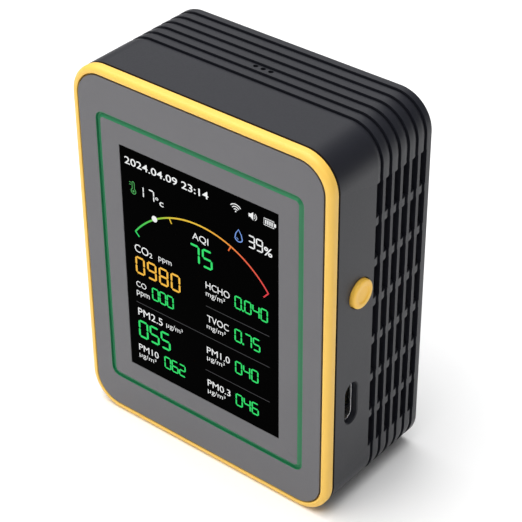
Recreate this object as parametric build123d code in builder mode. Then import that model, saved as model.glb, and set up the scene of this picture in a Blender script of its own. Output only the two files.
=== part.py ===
from build123d import *
import math
import os

os.makedirs("parts", exist_ok=True)

# ---------------------------------------------------------------------------
# Desktop air quality monitor. X is the width, Z is up, and the display faces -Y.
# The origin is on the ground under the middle of the case. Every "depth" below is
# measured backwards from the front face, and every "height" from the ground.
# ---------------------------------------------------------------------------

# Overall case
WIDTH = 61.0
HEIGHT = 80.0
DEPTH = 29.8
CORNER_R = 7.2
WALL = 2.0
BACK_WALL = 2.0
BACK_EDGE_R = 0.6

# Coloured ring of the front frame, and the seam to the case behind it
RING_FACE = 1.45
RING_SIDE = 2.1
RING_ROUND = 1.1
SEAM = 0.3
SEAM_IN = 0.8
SKIRT_LEN = 2.5
SKIRT_T = 1.0
SKIRT_GAP = 0.15
FLOOR_T = 1.2

# Grey front panel with its window and its inlaid line
PANEL_T = 1.2
PANEL_GAP = 0.3
WINDOW_W = 37.9
WINDOW_H = 51.1
WINDOW_LEDGE = 0.5
LENS_GAP = 0.1
LENS_RECESS = 0.05
TRIM_LINE_W = 48.0
TRIM_LINE_H = 60.9
TRIM_W = 1.15
TRIM_R = 1.35
TRIM_GROOVE = 0.5
TRIM_T = 0.15

# Ribs round the rear half, and the vent slots between them on both sides
RIB_COUNT = 6
RIB_PITCH = 2.64
RIB_CREST = 1.0
BACK_RIB = 1.82
FLANK_DROP = 0.36
SLIT_W = 0.3
GROOVE_DROP = 0.9
SLOT_ROWS = 7
SLOT_PITCH = 8.77
SLOT_H = 7.1

# Sound holes in the top, over the speaker
SOUND_HOLE_D = 1.05
SOUND_HOLE_PITCH = 1.77
SOUND_HOLE_X = 0.5
SOUND_HOLE_RIB = 1
SOUND_HOLE_SET = 1.2

# Button on the right side
BUTTON_D = 5.85
BUTTON_DEPTH = 8.91
BUTTON_HEIGHT = 48.9
BUTTON_PROUD = 0.82
BUTTON_EDGE_R = 0.35
BUTTON_DISH_D = 4.5
BUTTON_DISH = 0.16
BUTTON_FIT = 0.1
BUTTON_FLANGE_D = 7.2
BUTTON_FLANGE_T = 0.8
BUTTON_REST = 0.05
BUTTON_STEM_D = 2.0
BUTTON_TRAVEL = 0.3

# Side-push switch on the board
SWITCH_W = 4.7
SWITCH_L = 3.5
SWITCH_T = 1.7
SWITCH_SETBACK = 0.2
PLUNGER_W = 1.8
PLUNGER_T = 0.9
PLUNGER_OUT = 0.6
PLUNGER_IN = 0.4
PLUNGER_FIT = 0.05

# Charging socket on the right side
USB_W = 8.94
USB_T = 3.2
USB_LEN = 7.3
USB_HEIGHT = 24.5
USB_RECESS = 1.1
USB_SKIN = 0.3
USB_EAR = 1.0
USB_CUT_SIDE = 0.27
USB_CUT_END = 0.2
TONGUE_W = 6.6
TONGUE_T = 0.7
TONGUE_LEN = 4.6
TONGUE_BASE = 1.4

# Main board, held on four posts of the frame
PCB_T = 1.6
PCB_DEPTH = 6.46
PCB_SIDE_GAP = 2.5
PCB_END_GAP = 2.0
PCB_SCREW_END = 11.0
POST_D = 4.0
PCB_HOLE_FIT = 0.15

# Screws, M2 with pan heads
SCREW_D = 1.9
SCREW_HEAD_D = 3.6
SCREW_HEAD_T = 1.3
SCREW_SINK = 0.7
SCREW_SLOT_W = 0.5
PCB_SCREW_LEN = 5.0
CASE_SCREW_LEN = 8.0
PILOT_FIT = 0.01
PILOT_SPARE = 0.6

# Corner columns that join the case to the frame
BOSS_D = 6.0
BOSS_POST_D = 5.2
BOSS_MEET = 15.0
BOSS_SEAT_T = 2.0
BOSS_IN_X = 3.3
BOSS_IN_Z = 4.8
SCREW_HOLE_FIT = 0.2
HEAD_FIT = 0.3

# Display module
LCD_W = 42.7
LCD_H = 60.2
LCD_T = 2.6
LCD_TOP_BORDER = 1.75
LCD_SKIN = 0.4
LCD_FLOOR = 0.3
LCD_FIT = 0.1
CELL_T = 1.4
LCD_SEAL_T = 0.5
LCD_SEAL_W = 1.5
FLEX_W = 20.0
FLEX_T = 0.12
FLEX_LEG = 7.4
FLEX_DROP = 1.5

# Particle sensor, taped to the back wall beside the left vents
TAPE_T = 0.2
PM_W = 38.0
PM_H = 35.0
PM_T = 12.0
PM_SIDE_GAP = 0.5
PM_TOP_GAP = 0.5
PM_SKIN = 1.2
PM_LID_T = 0.8
FAN_D = 18.0
FAN_IN_X = 11.0
FAN_H = 4.5
FAN_HUB_D = 8.0
FAN_BLADES = 9
FAN_BLADE_T = 0.7
FAN_SHAFT_D = 1.5
FAN_SHAFT_FIT = 0.03
FAN_MOTOR_T = 2.2
FAN_LIFT = 0.4
FAN_EYE_D = 15.0
FAN_PORT_W = 15.0
FAN_PORT_T = 5.0

# Battery, taped to the back wall under the particle sensor
BATTERY_W = 40.0
BATTERY_H = 29.5
BATTERY_T = 8.0
BATTERY_TOP_GAP = 0.7
LEAD_D = 1.2
LEAD_OUT = 4.0
LEAD_SET = 1.9
LEAD_PITCH = 1.6
PLUG_W = 4.6
PLUG_H = 4.0
PLUG_T = 2.0
SOCKET_T = 3.5
SOCKET_GAP = 0.6
SOCKET_SETBACK = 0.3

# Other sensors and parts on the rear of the board
CO2_W = 33.0
CO2_H = 20.0
CO2_LIFT = 1.5
CO2_BOARD_T = 1.0
CO2_CAVITY_W = 24.0
CO2_CAVITY_H = 17.0
CO2_CAVITY_T = 6.0
CO_CELL_D = 14.0
CO_CELL_T = 6.3
HCHO_W = 13.0
HCHO_T = 5.5
FILTER_T = 0.3
TVOC_D = 8.0
TVOC_T = 3.4
SPEAKER_W = 15.0
SPEAKER_L = 11.0
SPEAKER_T = 3.3
SPEAKER_SEAL_T = 0.5
SPEAKER_SEAL_W = 1.8
SPEAKER_FIT = 0.15
POCKET_T = 1.0
POCKET_H = 3.0

# ---------------------------------------------------------------------------
# Places worked out from the sizes above
# ---------------------------------------------------------------------------
FRONT = -DEPTH / 2
MID_Z = HEIGHT / 2
INNER_W = WIDTH - 2 * WALL
INNER_H = HEIGHT - 2 * WALL
CASE_D = RING_SIDE + SEAM
BACK_IN = DEPTH - BACK_WALL
FLANK = RIB_PITCH - RIB_CREST
RIB_EDGES = [DEPTH - BACK_RIB - k * RIB_PITCH for k in reversed(range(RIB_COUNT))]
SLOT_HEIGHTS = [MID_Z + (row - (SLOT_ROWS - 1) / 2) * SLOT_PITCH for row in range(SLOT_ROWS)]
FLOOR_D = PANEL_T + FLOOR_T
PCB_BACK = PCB_DEPTH + PCB_T
PCB_W = INNER_W - 2 * PCB_SIDE_GAP
PCB_H = INNER_H - 2 * PCB_END_GAP
PCB_EDGE = PCB_W / 2
BOSS_X = INNER_W / 2 - BOSS_IN_X
BOSS_Z = INNER_H / 2 - BOSS_IN_Z
POST_X = (LCD_W / 2 + PCB_EDGE) / 2
POST_Z = PCB_H / 2 - PCB_SCREW_END
LCD_TOP = MID_Z + WINDOW_H / 2 + LCD_TOP_BORDER
LCD_MID = LCD_TOP - LCD_H / 2
LCD_D = FLOOR_D + LCD_SEAL_T
PM_X = -INNER_W / 2 + PM_SIDE_GAP + PM_W / 2
PM_Z = MID_Z + BOSS_Z - BOSS_D / 2 - PM_TOP_GAP - PM_H
PM_MID_Z = PM_Z + PM_H / 2
PM_BACK = BACK_IN - TAPE_T
PM_D = PM_BACK - PM_T
FAN_X = PM_X - PM_W / 2 + FAN_IN_X
FAN_BASE = PM_BACK - PM_SKIN
BATTERY_MID_Z = PM_Z - BATTERY_TOP_GAP - BATTERY_H / 2
BATTERY_D = BACK_IN - TAPE_T - BATTERY_T
SOUND_D = RIB_EDGES[SOUND_HOLE_RIB] + SOUND_HOLE_SET
TOP_IN = HEIGHT - WALL
SOCKET_X = PCB_EDGE - PLUG_W / 2 - SOCKET_SETBACK
SOCKET_Z = USB_HEIGHT + USB_W / 2 + USB_EAR + SOCKET_GAP + PLUG_H / 2


def depth_plane(depth):
    """Plane parallel to the front at a depth: sketch x is X, sketch y is Z, normal to the front."""
    return Plane.XZ.offset(-(FRONT + depth))


def side_plane(x):
    """Plane across the width at x: sketch x is Y, sketch y is Z, normal to the right."""
    return Plane(origin=(x, 0, 0), x_dir=(0, 1, 0), z_dir=(1, 0, 0))


def save(piece, name):
    """Label one finished piece and write it."""
    piece.part.label = name
    export_step(piece.part, f"parts/{name}.step")


def slab(x_mid, z_mid, width, height, depth_0, depth_1, radius=0.0):
    """A plate or block lying between two depths, with rounded corners in front view."""
    with BuildPart() as piece:
        with BuildSketch(depth_plane(depth_0)):
            with Locations((x_mid, z_mid)):
                if radius:
                    RectangleRounded(width, height, radius)
                else:
                    Rectangle(width, height)
        extrude(amount=-(depth_1 - depth_0))
    return piece


def frame_slab(x_mid, z_mid, outer, inner, depth_0, depth_1):
    """A flat ring such as a gasket, between two depths."""
    with BuildPart() as piece:
        with BuildSketch(depth_plane(depth_0)):
            with Locations((x_mid, z_mid)):
                Rectangle(*outer)
                Rectangle(*inner, mode=Mode.SUBTRACT)
        extrude(amount=-(depth_1 - depth_0))
    return piece


def drum(x, z, diameter, depth_0, depth_1):
    """A round can standing on the board, its axis front to back."""
    with BuildPart() as piece:
        with BuildSketch(depth_plane(depth_0)):
            with Locations((x, z)):
                Circle(diameter / 2)
        extrude(amount=-(depth_1 - depth_0))
    return piece


def corners(x, z):
    """Four places, mirrored left to right and top to bottom about the middle of the case."""
    return [(sx * x, MID_Z + sz * z) for sx in (-1, 1) for sz in (-1, 1)]


def screws(places, seat_depth, length):
    """Pan-head screws driven from the rear, heads behind the seat depth."""
    with BuildPart() as piece:
        with BuildSketch(depth_plane(seat_depth)):
            with Locations(*places):
                Circle(SCREW_D / 2)
        extrude(amount=length)
        with BuildSketch(depth_plane(seat_depth)):
            with Locations(*places):
                Circle(SCREW_HEAD_D / 2)
        extrude(amount=-SCREW_HEAD_T)
        fillet(piece.faces().sort_by(Axis.Y)[-len(places):].edges(), SCREW_HEAD_T * 0.35)
        with BuildSketch(depth_plane(seat_depth + SCREW_HEAD_T)):
            with Locations(*places):
                Rectangle(SCREW_HEAD_D * 0.55, SCREW_SLOT_W)
                Rectangle(SCREW_SLOT_W, SCREW_HEAD_D * 0.55)
        extrude(amount=SCREW_SINK, mode=Mode.SUBTRACT)
    return piece


# ---------------------------------------------------------------------------
# Rear case: a tub with ribs round its rear half and vent slots in both sides
# ---------------------------------------------------------------------------
with BuildPart() as rear_case:
    with BuildSketch(depth_plane(CASE_D)):
        with Locations((0, MID_Z)):
            RectangleRounded(WIDTH, HEIGHT, CORNER_R)
    extrude(amount=-(DEPTH - CASE_D))
    fillet(rear_case.faces().sort_by(Axis.Y)[-1].edges(), BACK_EDGE_R)
    with BuildSketch(depth_plane(CASE_D)):
        with Locations((0, MID_Z)):
            RectangleRounded(INNER_W, INNER_H, CORNER_R - WALL)
    extrude(amount=-(BACK_IN - CASE_D), mode=Mode.SUBTRACT)

    # grooves between the ribs: a crisp rib edge, a flat crest, then a flank that rolls off
    for side in (-1, 1):
        with BuildLine(Plane.XZ) as girth:
            FilletPolyline(
                (0, HEIGHT), (side * WIDTH / 2, HEIGHT), (side * WIDTH / 2, 0), (0, 0),
                radius=CORNER_R,
            )
        with BuildSketch(Plane(origin=(0, 0, HEIGHT), x_dir=(0, 1, 0), z_dir=(1, 0, 0))):
            for edge in RIB_EDGES:
                y = FRONT + edge
                with BuildLine():
                    flank = TangentArc((y - FLANK, 0), (y - SLIT_W, -FLANK_DROP), tangent=(1, 0))
                    Polyline(
                        flank @ 1, (y - SLIT_W, -GROOVE_DROP), (y, -GROOVE_DROP), (y, 0.5),
                        (y - FLANK, 0.5), flank @ 0,
                    )
                make_face()
        sweep(path=girth.wires()[0], mode=Mode.SUBTRACT)

    # vent slots, from the end of each crest to the next rib
    with Locations(*[
        (side * (WIDTH - WALL) / 2, FRONT + edge - FLANK / 2, z)
        for side in (-1, 1) for edge in RIB_EDGES for z in SLOT_HEIGHTS
    ]):
        Box(WALL + 1, FLANK, SLOT_H, mode=Mode.SUBTRACT)

    # sound holes in the top
    with BuildSketch(Plane.XY.offset(HEIGHT)):
        with Locations((SOUND_HOLE_X, FRONT + SOUND_D)):
            with GridLocations(SOUND_HOLE_PITCH, 1, 3, 1):
                Circle(SOUND_HOLE_D / 2)
    extrude(amount=-WALL, mode=Mode.SUBTRACT)

    # button hole and socket cut-out in the right side
    with BuildSketch(side_plane(WIDTH / 2)):
        with Locations((FRONT + BUTTON_DEPTH, BUTTON_HEIGHT)):
            Circle(BUTTON_D / 2 + BUTTON_FIT)
        with Locations((FRONT + PCB_DEPTH + PCB_T / 2, USB_HEIGHT)):
            SlotOverall(USB_W + 2 * USB_CUT_END, USB_T + 2 * USB_CUT_SIDE, rotation=90)
    extrude(amount=-WALL, mode=Mode.SUBTRACT)

    # corner columns, counterbored from the rear
    with BuildSketch(depth_plane(BOSS_MEET)):
        with Locations(*corners(BOSS_X, BOSS_Z)):
            Circle(BOSS_D / 2)
    extrude(amount=-(BACK_IN - BOSS_MEET))
    with BuildSketch(depth_plane(BOSS_MEET + BOSS_SEAT_T)):
        with Locations(*corners(BOSS_X, BOSS_Z)):
            Circle(SCREW_HEAD_D / 2 + HEAD_FIT)
    extrude(amount=-(DEPTH - BOSS_MEET - BOSS_SEAT_T), mode=Mode.SUBTRACT)
    with BuildSketch(depth_plane(BOSS_MEET)):
        with Locations(*corners(BOSS_X, BOSS_Z)):
            Circle(SCREW_D / 2 + SCREW_HOLE_FIT)
    extrude(amount=-BOSS_SEAT_T, mode=Mode.SUBTRACT)

    # pocket wall that holds the speaker against the top
    with BuildSketch(Plane.XY.offset(TOP_IN)):
        with Locations((SOUND_HOLE_X, FRONT + SOUND_D)):
            Rectangle(*[size + 2 * (SPEAKER_FIT + POCKET_T) for size in (SPEAKER_W, SPEAKER_L)])
            Rectangle(*[size + 2 * SPEAKER_FIT for size in (SPEAKER_W, SPEAKER_L)],
                      mode=Mode.SUBTRACT)
    extrude(amount=-POCKET_H)
save(rear_case, "rear_case")

# ---------------------------------------------------------------------------
# Front frame: the coloured ring, the floor behind the panel, the skirt and the posts
# ---------------------------------------------------------------------------
with BuildPart() as front_frame:
    with BuildSketch(depth_plane(0)):
        with Locations((0, MID_Z)):
            RectangleRounded(WIDTH, HEIGHT, CORNER_R)
    extrude(amount=-RING_SIDE)
    fillet(front_frame.faces().sort_by(Axis.Y)[0].edges(), RING_ROUND)
    fillet(front_frame.faces().sort_by(Axis.Y)[-1].edges(), 0.25)
    with BuildSketch(depth_plane(0)):
        with Locations((0, MID_Z)):
            RectangleRounded(WIDTH - 2 * RING_FACE, HEIGHT - 2 * RING_FACE, CORNER_R - RING_FACE)
    extrude(amount=-PANEL_T, mode=Mode.SUBTRACT)
    with BuildSketch(depth_plane(RING_SIDE)):
        with Locations((0, MID_Z)):
            RectangleRounded(WIDTH - 2 * SEAM_IN, HEIGHT - 2 * SEAM_IN, CORNER_R - SEAM_IN)
    extrude(amount=-SEAM)
    skirt_w, skirt_h = INNER_W - 2 * SKIRT_GAP, INNER_H - 2 * SKIRT_GAP
    skirt_r = CORNER_R - WALL - SKIRT_GAP
    with BuildSketch(depth_plane(CASE_D)):
        with Locations((0, MID_Z)):
            RectangleRounded(skirt_w, skirt_h, skirt_r)
            RectangleRounded(skirt_w - 2 * SKIRT_T, skirt_h - 2 * SKIRT_T, skirt_r - SKIRT_T,
                             mode=Mode.SUBTRACT)
    extrude(amount=-SKIRT_LEN)
    with BuildSketch(depth_plane(PANEL_T)):
        with Locations((0, MID_Z)):
            Rectangle(WINDOW_W - 2 * WINDOW_LEDGE, WINDOW_H - 2 * WINDOW_LEDGE)
    extrude(amount=-(CASE_D - PANEL_T), mode=Mode.SUBTRACT)

    # posts for the board, and the longer corner columns that the case screws bite in
    for places, post_d, top, screw_len in (
        (corners(POST_X, POST_Z), POST_D, PCB_DEPTH, PCB_SCREW_LEN - PCB_T),
        (corners(BOSS_X, BOSS_Z), BOSS_POST_D, BOSS_MEET, CASE_SCREW_LEN - BOSS_SEAT_T),
    ):
        with BuildSketch(depth_plane(CASE_D)):
            with Locations(*places):
                Circle(post_d / 2)
        extrude(amount=-(top - CASE_D))
        with BuildSketch(depth_plane(top)):
            with Locations(*places):
                Circle(SCREW_D / 2 + PILOT_FIT)
        extrude(amount=screw_len + PILOT_SPARE, mode=Mode.SUBTRACT)
save(front_frame, "front_frame")

# Grey panel: a plate let into the ring, with the window and the groove of the line
with BuildPart() as front_panel:
    panel_w = WIDTH - 2 * (RING_FACE + PANEL_GAP)
    panel_h = HEIGHT - 2 * (RING_FACE + PANEL_GAP)
    with BuildSketch(depth_plane(0)):
        with Locations((0, MID_Z)):
            RectangleRounded(panel_w, panel_h, CORNER_R - RING_FACE - PANEL_GAP)
            Rectangle(WINDOW_W, WINDOW_H, mode=Mode.SUBTRACT)
    extrude(amount=-PANEL_T)
    with BuildSketch(depth_plane(0)):
        with Locations((0, MID_Z)):
            RectangleRounded(TRIM_LINE_W + TRIM_W, TRIM_LINE_H + TRIM_W, TRIM_R + TRIM_W / 2)
            RectangleRounded(TRIM_LINE_W - TRIM_W, TRIM_LINE_H - TRIM_W, TRIM_R - TRIM_W / 2,
                             mode=Mode.SUBTRACT)
    extrude(amount=-TRIM_GROOVE, mode=Mode.SUBTRACT)
save(front_panel, "front_panel")

# Green line lying in the groove
with BuildPart() as trim_line:
    with BuildSketch(depth_plane(TRIM_GROOVE - TRIM_T)):
        with Locations((0, MID_Z)):
            RectangleRounded(TRIM_LINE_W + TRIM_W, TRIM_LINE_H + TRIM_W, TRIM_R + TRIM_W / 2)
            RectangleRounded(TRIM_LINE_W - TRIM_W, TRIM_LINE_H - TRIM_W, TRIM_R - TRIM_W / 2,
                             mode=Mode.SUBTRACT)
    extrude(amount=-TRIM_T)
save(trim_line, "trim_line")

# Display window, glued to the ledge of the frame inside the panel's opening
display_lens = slab(0, MID_Z, WINDOW_W - 2 * LENS_GAP, WINDOW_H - 2 * LENS_GAP, LENS_RECESS, PANEL_T)
save(display_lens, "display_lens")

# ---------------------------------------------------------------------------
# Display module behind the frame's floor
# ---------------------------------------------------------------------------
lcd_seal = frame_slab(
    0, MID_Z, (WINDOW_W + 2 * LCD_SEAL_W, WINDOW_H + 2 * LCD_SEAL_W), (WINDOW_W, WINDOW_H),
    FLOOR_D, LCD_D,
)
save(lcd_seal, "lcd_seal")

with BuildPart() as lcd_tray:
    with BuildSketch(depth_plane(LCD_D)):
        with Locations((0, LCD_MID)):
            Rectangle(LCD_W, LCD_H)
    extrude(amount=-LCD_T)
    with BuildSketch(depth_plane(LCD_D)):
        with Locations((0, LCD_MID)):
            Rectangle(LCD_W - 2 * LCD_SKIN, LCD_H - 2 * LCD_SKIN)
    extrude(amount=-(LCD_T - LCD_FLOOR), mode=Mode.SUBTRACT)
save(lcd_tray, "lcd_tray")

cell_w, cell_h = LCD_W - 2 * (LCD_SKIN + LCD_FIT), LCD_H - 2 * (LCD_SKIN + LCD_FIT)
lcd_cell = slab(0, LCD_MID, cell_w, cell_h, LCD_D, LCD_D + CELL_T)
save(lcd_cell, "lcd_cell")
lcd_backlight = slab(0, LCD_MID, cell_w, cell_h, LCD_D + CELL_T, LCD_D + LCD_T - LCD_FLOOR)
save(lcd_backlight, "lcd_backlight")

# flexible tail: out of the bottom of the tray, a half turn, and up the face of the board
with BuildPart() as lcd_flex:
    leg_0 = FRONT + LCD_D + CELL_T / 2
    leg_1 = FRONT + PCB_DEPTH - FLEX_T / 2
    turn_z = LCD_MID - LCD_H / 2 - FLEX_DROP
    with BuildSketch(side_plane(-FLEX_W / 2)):
        with BuildLine():
            down = Line((leg_0, turn_z + FLEX_DROP - FLEX_T / 2), (leg_0, turn_z))
            turn = TangentArc(down @ 1, (leg_1, turn_z), tangent=down % 1)
            Line(turn @ 1, (leg_1, turn_z + FLEX_LEG))
            offset(amount=FLEX_T / 2, kind=Kind.INTERSECTION)
        make_face()
    extrude(amount=FLEX_W)
save(lcd_flex, "lcd_flex")

# foam pad between the tray and the board, clear of the flexible tail
pad_0 = LCD_MID - LCD_H / 2 - FLEX_DROP + FLEX_LEG + 1.5
pad_1 = LCD_TOP - 2.0
lcd_pad = slab(0, (pad_0 + pad_1) / 2, LCD_W - 8, pad_1 - pad_0, LCD_D + LCD_T, PCB_DEPTH)
save(lcd_pad, "lcd_pad")

# ---------------------------------------------------------------------------
# Main board, notched round the corner columns and for the sunken charging socket
# ---------------------------------------------------------------------------
with BuildPart() as main_board:
    with BuildSketch(depth_plane(PCB_DEPTH)):
        with Locations((0, MID_Z)):
            RectangleRounded(PCB_W, PCB_H, 1.5)
        with Locations(*corners(BOSS_X, BOSS_Z)):
            Circle(BOSS_D / 2 + 0.5, mode=Mode.SUBTRACT)
        with Locations(*corners(POST_X, POST_Z)):
            Circle(SCREW_D / 2 + PCB_HOLE_FIT, mode=Mode.SUBTRACT)
        with Locations((WIDTH / 2 - USB_RECESS - USB_LEN - 0.2, USB_HEIGHT)):
            Rectangle(USB_LEN + 5, USB_W + 0.3, align=(Align.MIN, Align.CENTER), mode=Mode.SUBTRACT)
    extrude(amount=-PCB_T)
save(main_board, "main_board")

board_screws = screws(corners(POST_X, POST_Z), PCB_BACK, PCB_SCREW_LEN)
save(board_screws, "board_screws")
case_screws = screws(corners(BOSS_X, BOSS_Z), BOSS_MEET + BOSS_SEAT_T, CASE_SCREW_LEN)
save(case_screws, "case_screws")

# Charging socket: a rolled steel shell sunk into the board, with two ears on its rear face
usb_out = WIDTH / 2 - USB_RECESS
usb_y = FRONT + PCB_DEPTH + PCB_T / 2
with BuildPart() as usb_shell:
    with BuildSketch(side_plane(usb_out)):
        with Locations((usb_y, USB_HEIGHT)):
            SlotOverall(USB_W, USB_T, rotation=90)
    extrude(amount=-USB_LEN)
    for ear_z in (-1, 1):
        with Locations((usb_out - USB_LEN + 1.6, FRONT + PCB_BACK + USB_SKIN / 2,
                        USB_HEIGHT + ear_z * USB_W / 2)):
            Box(1.6, USB_SKIN, 2 * USB_EAR)
    with BuildSketch(side_plane(usb_out)):
        with Locations((usb_y, USB_HEIGHT)):
            SlotOverall(USB_W - 2 * USB_SKIN, USB_T - 2 * USB_SKIN, rotation=90)
    extrude(amount=-(USB_LEN - USB_SKIN), mode=Mode.SUBTRACT)
save(usb_shell, "usb_shell")

with BuildPart() as usb_tongue:
    with BuildSketch(side_plane(usb_out - USB_LEN + USB_SKIN)):
        with Locations((usb_y, USB_HEIGHT)):
            SlotOverall(USB_W - 2 * USB_SKIN, USB_T - 2 * USB_SKIN, rotation=90)
    extrude(amount=TONGUE_BASE)
    with BuildSketch(side_plane(usb_out - USB_LEN + USB_SKIN)):
        with Locations((usb_y, USB_HEIGHT)):
            Rectangle(TONGUE_T, TONGUE_W)
    extrude(amount=TONGUE_BASE + TONGUE_LEN)
save(usb_tongue, "usb_tongue")

# ---------------------------------------------------------------------------
# Power button and the side-push switch behind it
# ---------------------------------------------------------------------------
switch_face = PCB_EDGE - SWITCH_SETBACK
switch_y = FRONT + PCB_BACK + SWITCH_T / 2
with BuildPart() as switch_body:
    with Locations((switch_face - SWITCH_L / 2, switch_y, BUTTON_HEIGHT)):
        Box(SWITCH_L, SWITCH_T, SWITCH_W)
    pocket = PLUNGER_IN + BUTTON_TRAVEL + PLUNGER_FIT
    with Locations((switch_face - pocket / 2, switch_y, BUTTON_HEIGHT)):
        Box(pocket, PLUNGER_T + 2 * PLUNGER_FIT, PLUNGER_W + 2 * PLUNGER_FIT, mode=Mode.SUBTRACT)
save(switch_body, "switch_body")

with BuildPart() as switch_plunger:
    with Locations((switch_face + (PLUNGER_OUT - PLUNGER_IN) / 2, switch_y, BUTTON_HEIGHT)):
        Box(PLUNGER_OUT + PLUNGER_IN, PLUNGER_T, PLUNGER_W)
save(switch_plunger, "switch_plunger")

with BuildPart() as power_button:
    flange_out = INNER_W / 2 - BUTTON_REST
    with BuildSketch(side_plane(flange_out)):
        with Locations((FRONT + BUTTON_DEPTH, BUTTON_HEIGHT)):
            Circle(BUTTON_D / 2)
    extrude(amount=WIDTH / 2 + BUTTON_PROUD - flange_out)
    fillet(power_button.faces().sort_by(Axis.X)[-1].edges(), BUTTON_EDGE_R)
    with BuildSketch(side_plane(flange_out)):
        with Locations((FRONT + BUTTON_DEPTH, BUTTON_HEIGHT)):
            Circle(BUTTON_FLANGE_D / 2)
    extrude(amount=-BUTTON_FLANGE_T)
    with BuildSketch(side_plane(flange_out - BUTTON_FLANGE_T)):
        with Locations((FRONT + BUTTON_DEPTH, BUTTON_HEIGHT)):
            Circle(BUTTON_STEM_D / 2)
    extrude(amount=-(flange_out - BUTTON_FLANGE_T - switch_face - PLUNGER_OUT - PLUNGER_FIT))
    # shallow spherical dish in the face
    dish_r = (BUTTON_DISH_D ** 2 / 4 + BUTTON_DISH ** 2) / (2 * BUTTON_DISH)
    with Locations((WIDTH / 2 + BUTTON_PROUD + dish_r - BUTTON_DISH, FRONT + BUTTON_DEPTH,
                    BUTTON_HEIGHT)):
        Sphere(dish_r, mode=Mode.SUBTRACT)
save(power_button, "power_button")

# ---------------------------------------------------------------------------
# Particle sensor: housing, lid, fan and optics
# ---------------------------------------------------------------------------
with BuildPart() as pm_housing:
    with BuildSketch(depth_plane(PM_D + PM_LID_T)):
        with Locations((PM_X, PM_MID_Z)):
            RectangleRounded(PM_W, PM_H, 1.0)
    extrude(amount=-(PM_T - PM_LID_T))
    with BuildSketch(depth_plane(PM_D + PM_LID_T)):
        with Locations((PM_X, PM_MID_Z)):
            Rectangle(PM_W - 2 * PM_SKIN, PM_H - 2 * PM_SKIN)
    extrude(amount=-(PM_T - PM_LID_T - PM_SKIN), mode=Mode.SUBTRACT)
    with Locations((PM_X - PM_W / 2, FRONT + FAN_BASE - FAN_MOTOR_T - FAN_LIFT - FAN_H / 2, PM_MID_Z)):
        Box(3 * PM_SKIN, FAN_PORT_T, FAN_PORT_W, mode=Mode.SUBTRACT)
save(pm_housing, "pm_housing")

with BuildPart() as pm_lid:
    with BuildSketch(depth_plane(PM_D)):
        with Locations((PM_X, PM_MID_Z)):
            RectangleRounded(PM_W, PM_H, 1.0)
        with Locations((FAN_X, PM_MID_Z)):
            Circle(FAN_EYE_D / 2, mode=Mode.SUBTRACT)
            Rectangle(FAN_EYE_D, 1.2)
            Rectangle(1.2, FAN_EYE_D)
    extrude(amount=-PM_LID_T)
save(pm_lid, "pm_lid")

fan_top = FAN_BASE - FAN_MOTOR_T - FAN_LIFT - FAN_H
with BuildPart() as fan_motor:
    with BuildSketch(depth_plane(FAN_BASE - FAN_MOTOR_T)):
        with Locations((FAN_X, PM_MID_Z)):
            Circle(FAN_HUB_D / 2)
    extrude(amount=-FAN_MOTOR_T)
    with BuildSketch(depth_plane(fan_top + 0.8)):
        with Locations((FAN_X, PM_MID_Z)):
            Circle(FAN_SHAFT_D / 2)
    extrude(amount=-(FAN_BASE - fan_top - 0.8))
save(fan_motor, "fan_motor")

with BuildPart() as fan_rotor:
    with BuildSketch(depth_plane(fan_top)):
        with Locations((FAN_X, PM_MID_Z)):
            Circle(FAN_HUB_D / 2)
            blade_len = (FAN_D - FAN_HUB_D) / 2 + 0.5
            with PolarLocations(FAN_HUB_D / 2 - 0.5 + blade_len / 2, FAN_BLADES):
                Rectangle(blade_len, FAN_BLADE_T, rotation=25)
    extrude(amount=-FAN_H)
    with BuildSketch(depth_plane(fan_top + FAN_H)):
        with Locations((FAN_X, PM_MID_Z)):
            Circle(FAN_SHAFT_D / 2 + FAN_SHAFT_FIT)
    extrude(amount=FAN_H - 0.7, mode=Mode.SUBTRACT)
save(fan_rotor, "fan_rotor")

optics_x = PM_X + PM_W / 2 - PM_SKIN - 7.5
pm_board = slab(optics_x, PM_MID_Z, 13.0, PM_H - 2 * PM_SKIN - 1.0, FAN_BASE - 1.0, FAN_BASE)
save(pm_board, "pm_board")
with BuildPart() as pm_laser:
    with Locations((optics_x, FRONT + FAN_BASE - 1.0 - 2.75, PM_MID_Z + 8.0)):
        Box(7.0, 5.5, 11.0)
    with BuildSketch(Plane.XY.offset(PM_MID_Z + 8.0 - 5.5)):
        with Locations((optics_x, FRONT + FAN_BASE - 1.0 - 2.75)):
            Circle(1.9)
    extrude(amount=-2.5)
save(pm_laser, "pm_laser")
pm_tape = slab(PM_X, PM_MID_Z, PM_W - 6, PM_H - 6, PM_BACK, BACK_IN)
save(pm_tape, "pm_tape")

# ---------------------------------------------------------------------------
# Battery with its two leads, plug and socket
# ---------------------------------------------------------------------------
with BuildPart() as battery:
    with BuildSketch(depth_plane(BATTERY_D)):
        with Locations((0, BATTERY_MID_Z)):
            RectangleRounded(BATTERY_W, BATTERY_H, 1.5)
    extrude(amount=-BATTERY_T)
    fillet(battery.faces().sort_by(Axis.Y)[0].edges(), 1.0)
save(battery, "battery")
battery_tape = slab(0, BATTERY_MID_Z, BATTERY_W - 6, BATTERY_H - 8, BACK_IN - TAPE_T, BACK_IN)
save(battery_tape, "battery_tape")

battery_socket = slab(SOCKET_X, SOCKET_Z, PLUG_W, PLUG_H, PCB_BACK, PCB_BACK + SOCKET_T)
save(battery_socket, "battery_socket")
battery_plug = slab(SOCKET_X, SOCKET_Z, PLUG_W - 0.4, PLUG_H - 0.4, PCB_BACK + SOCKET_T,
                    PCB_BACK + SOCKET_T + PLUG_T)
save(battery_plug, "battery_plug")

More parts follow.
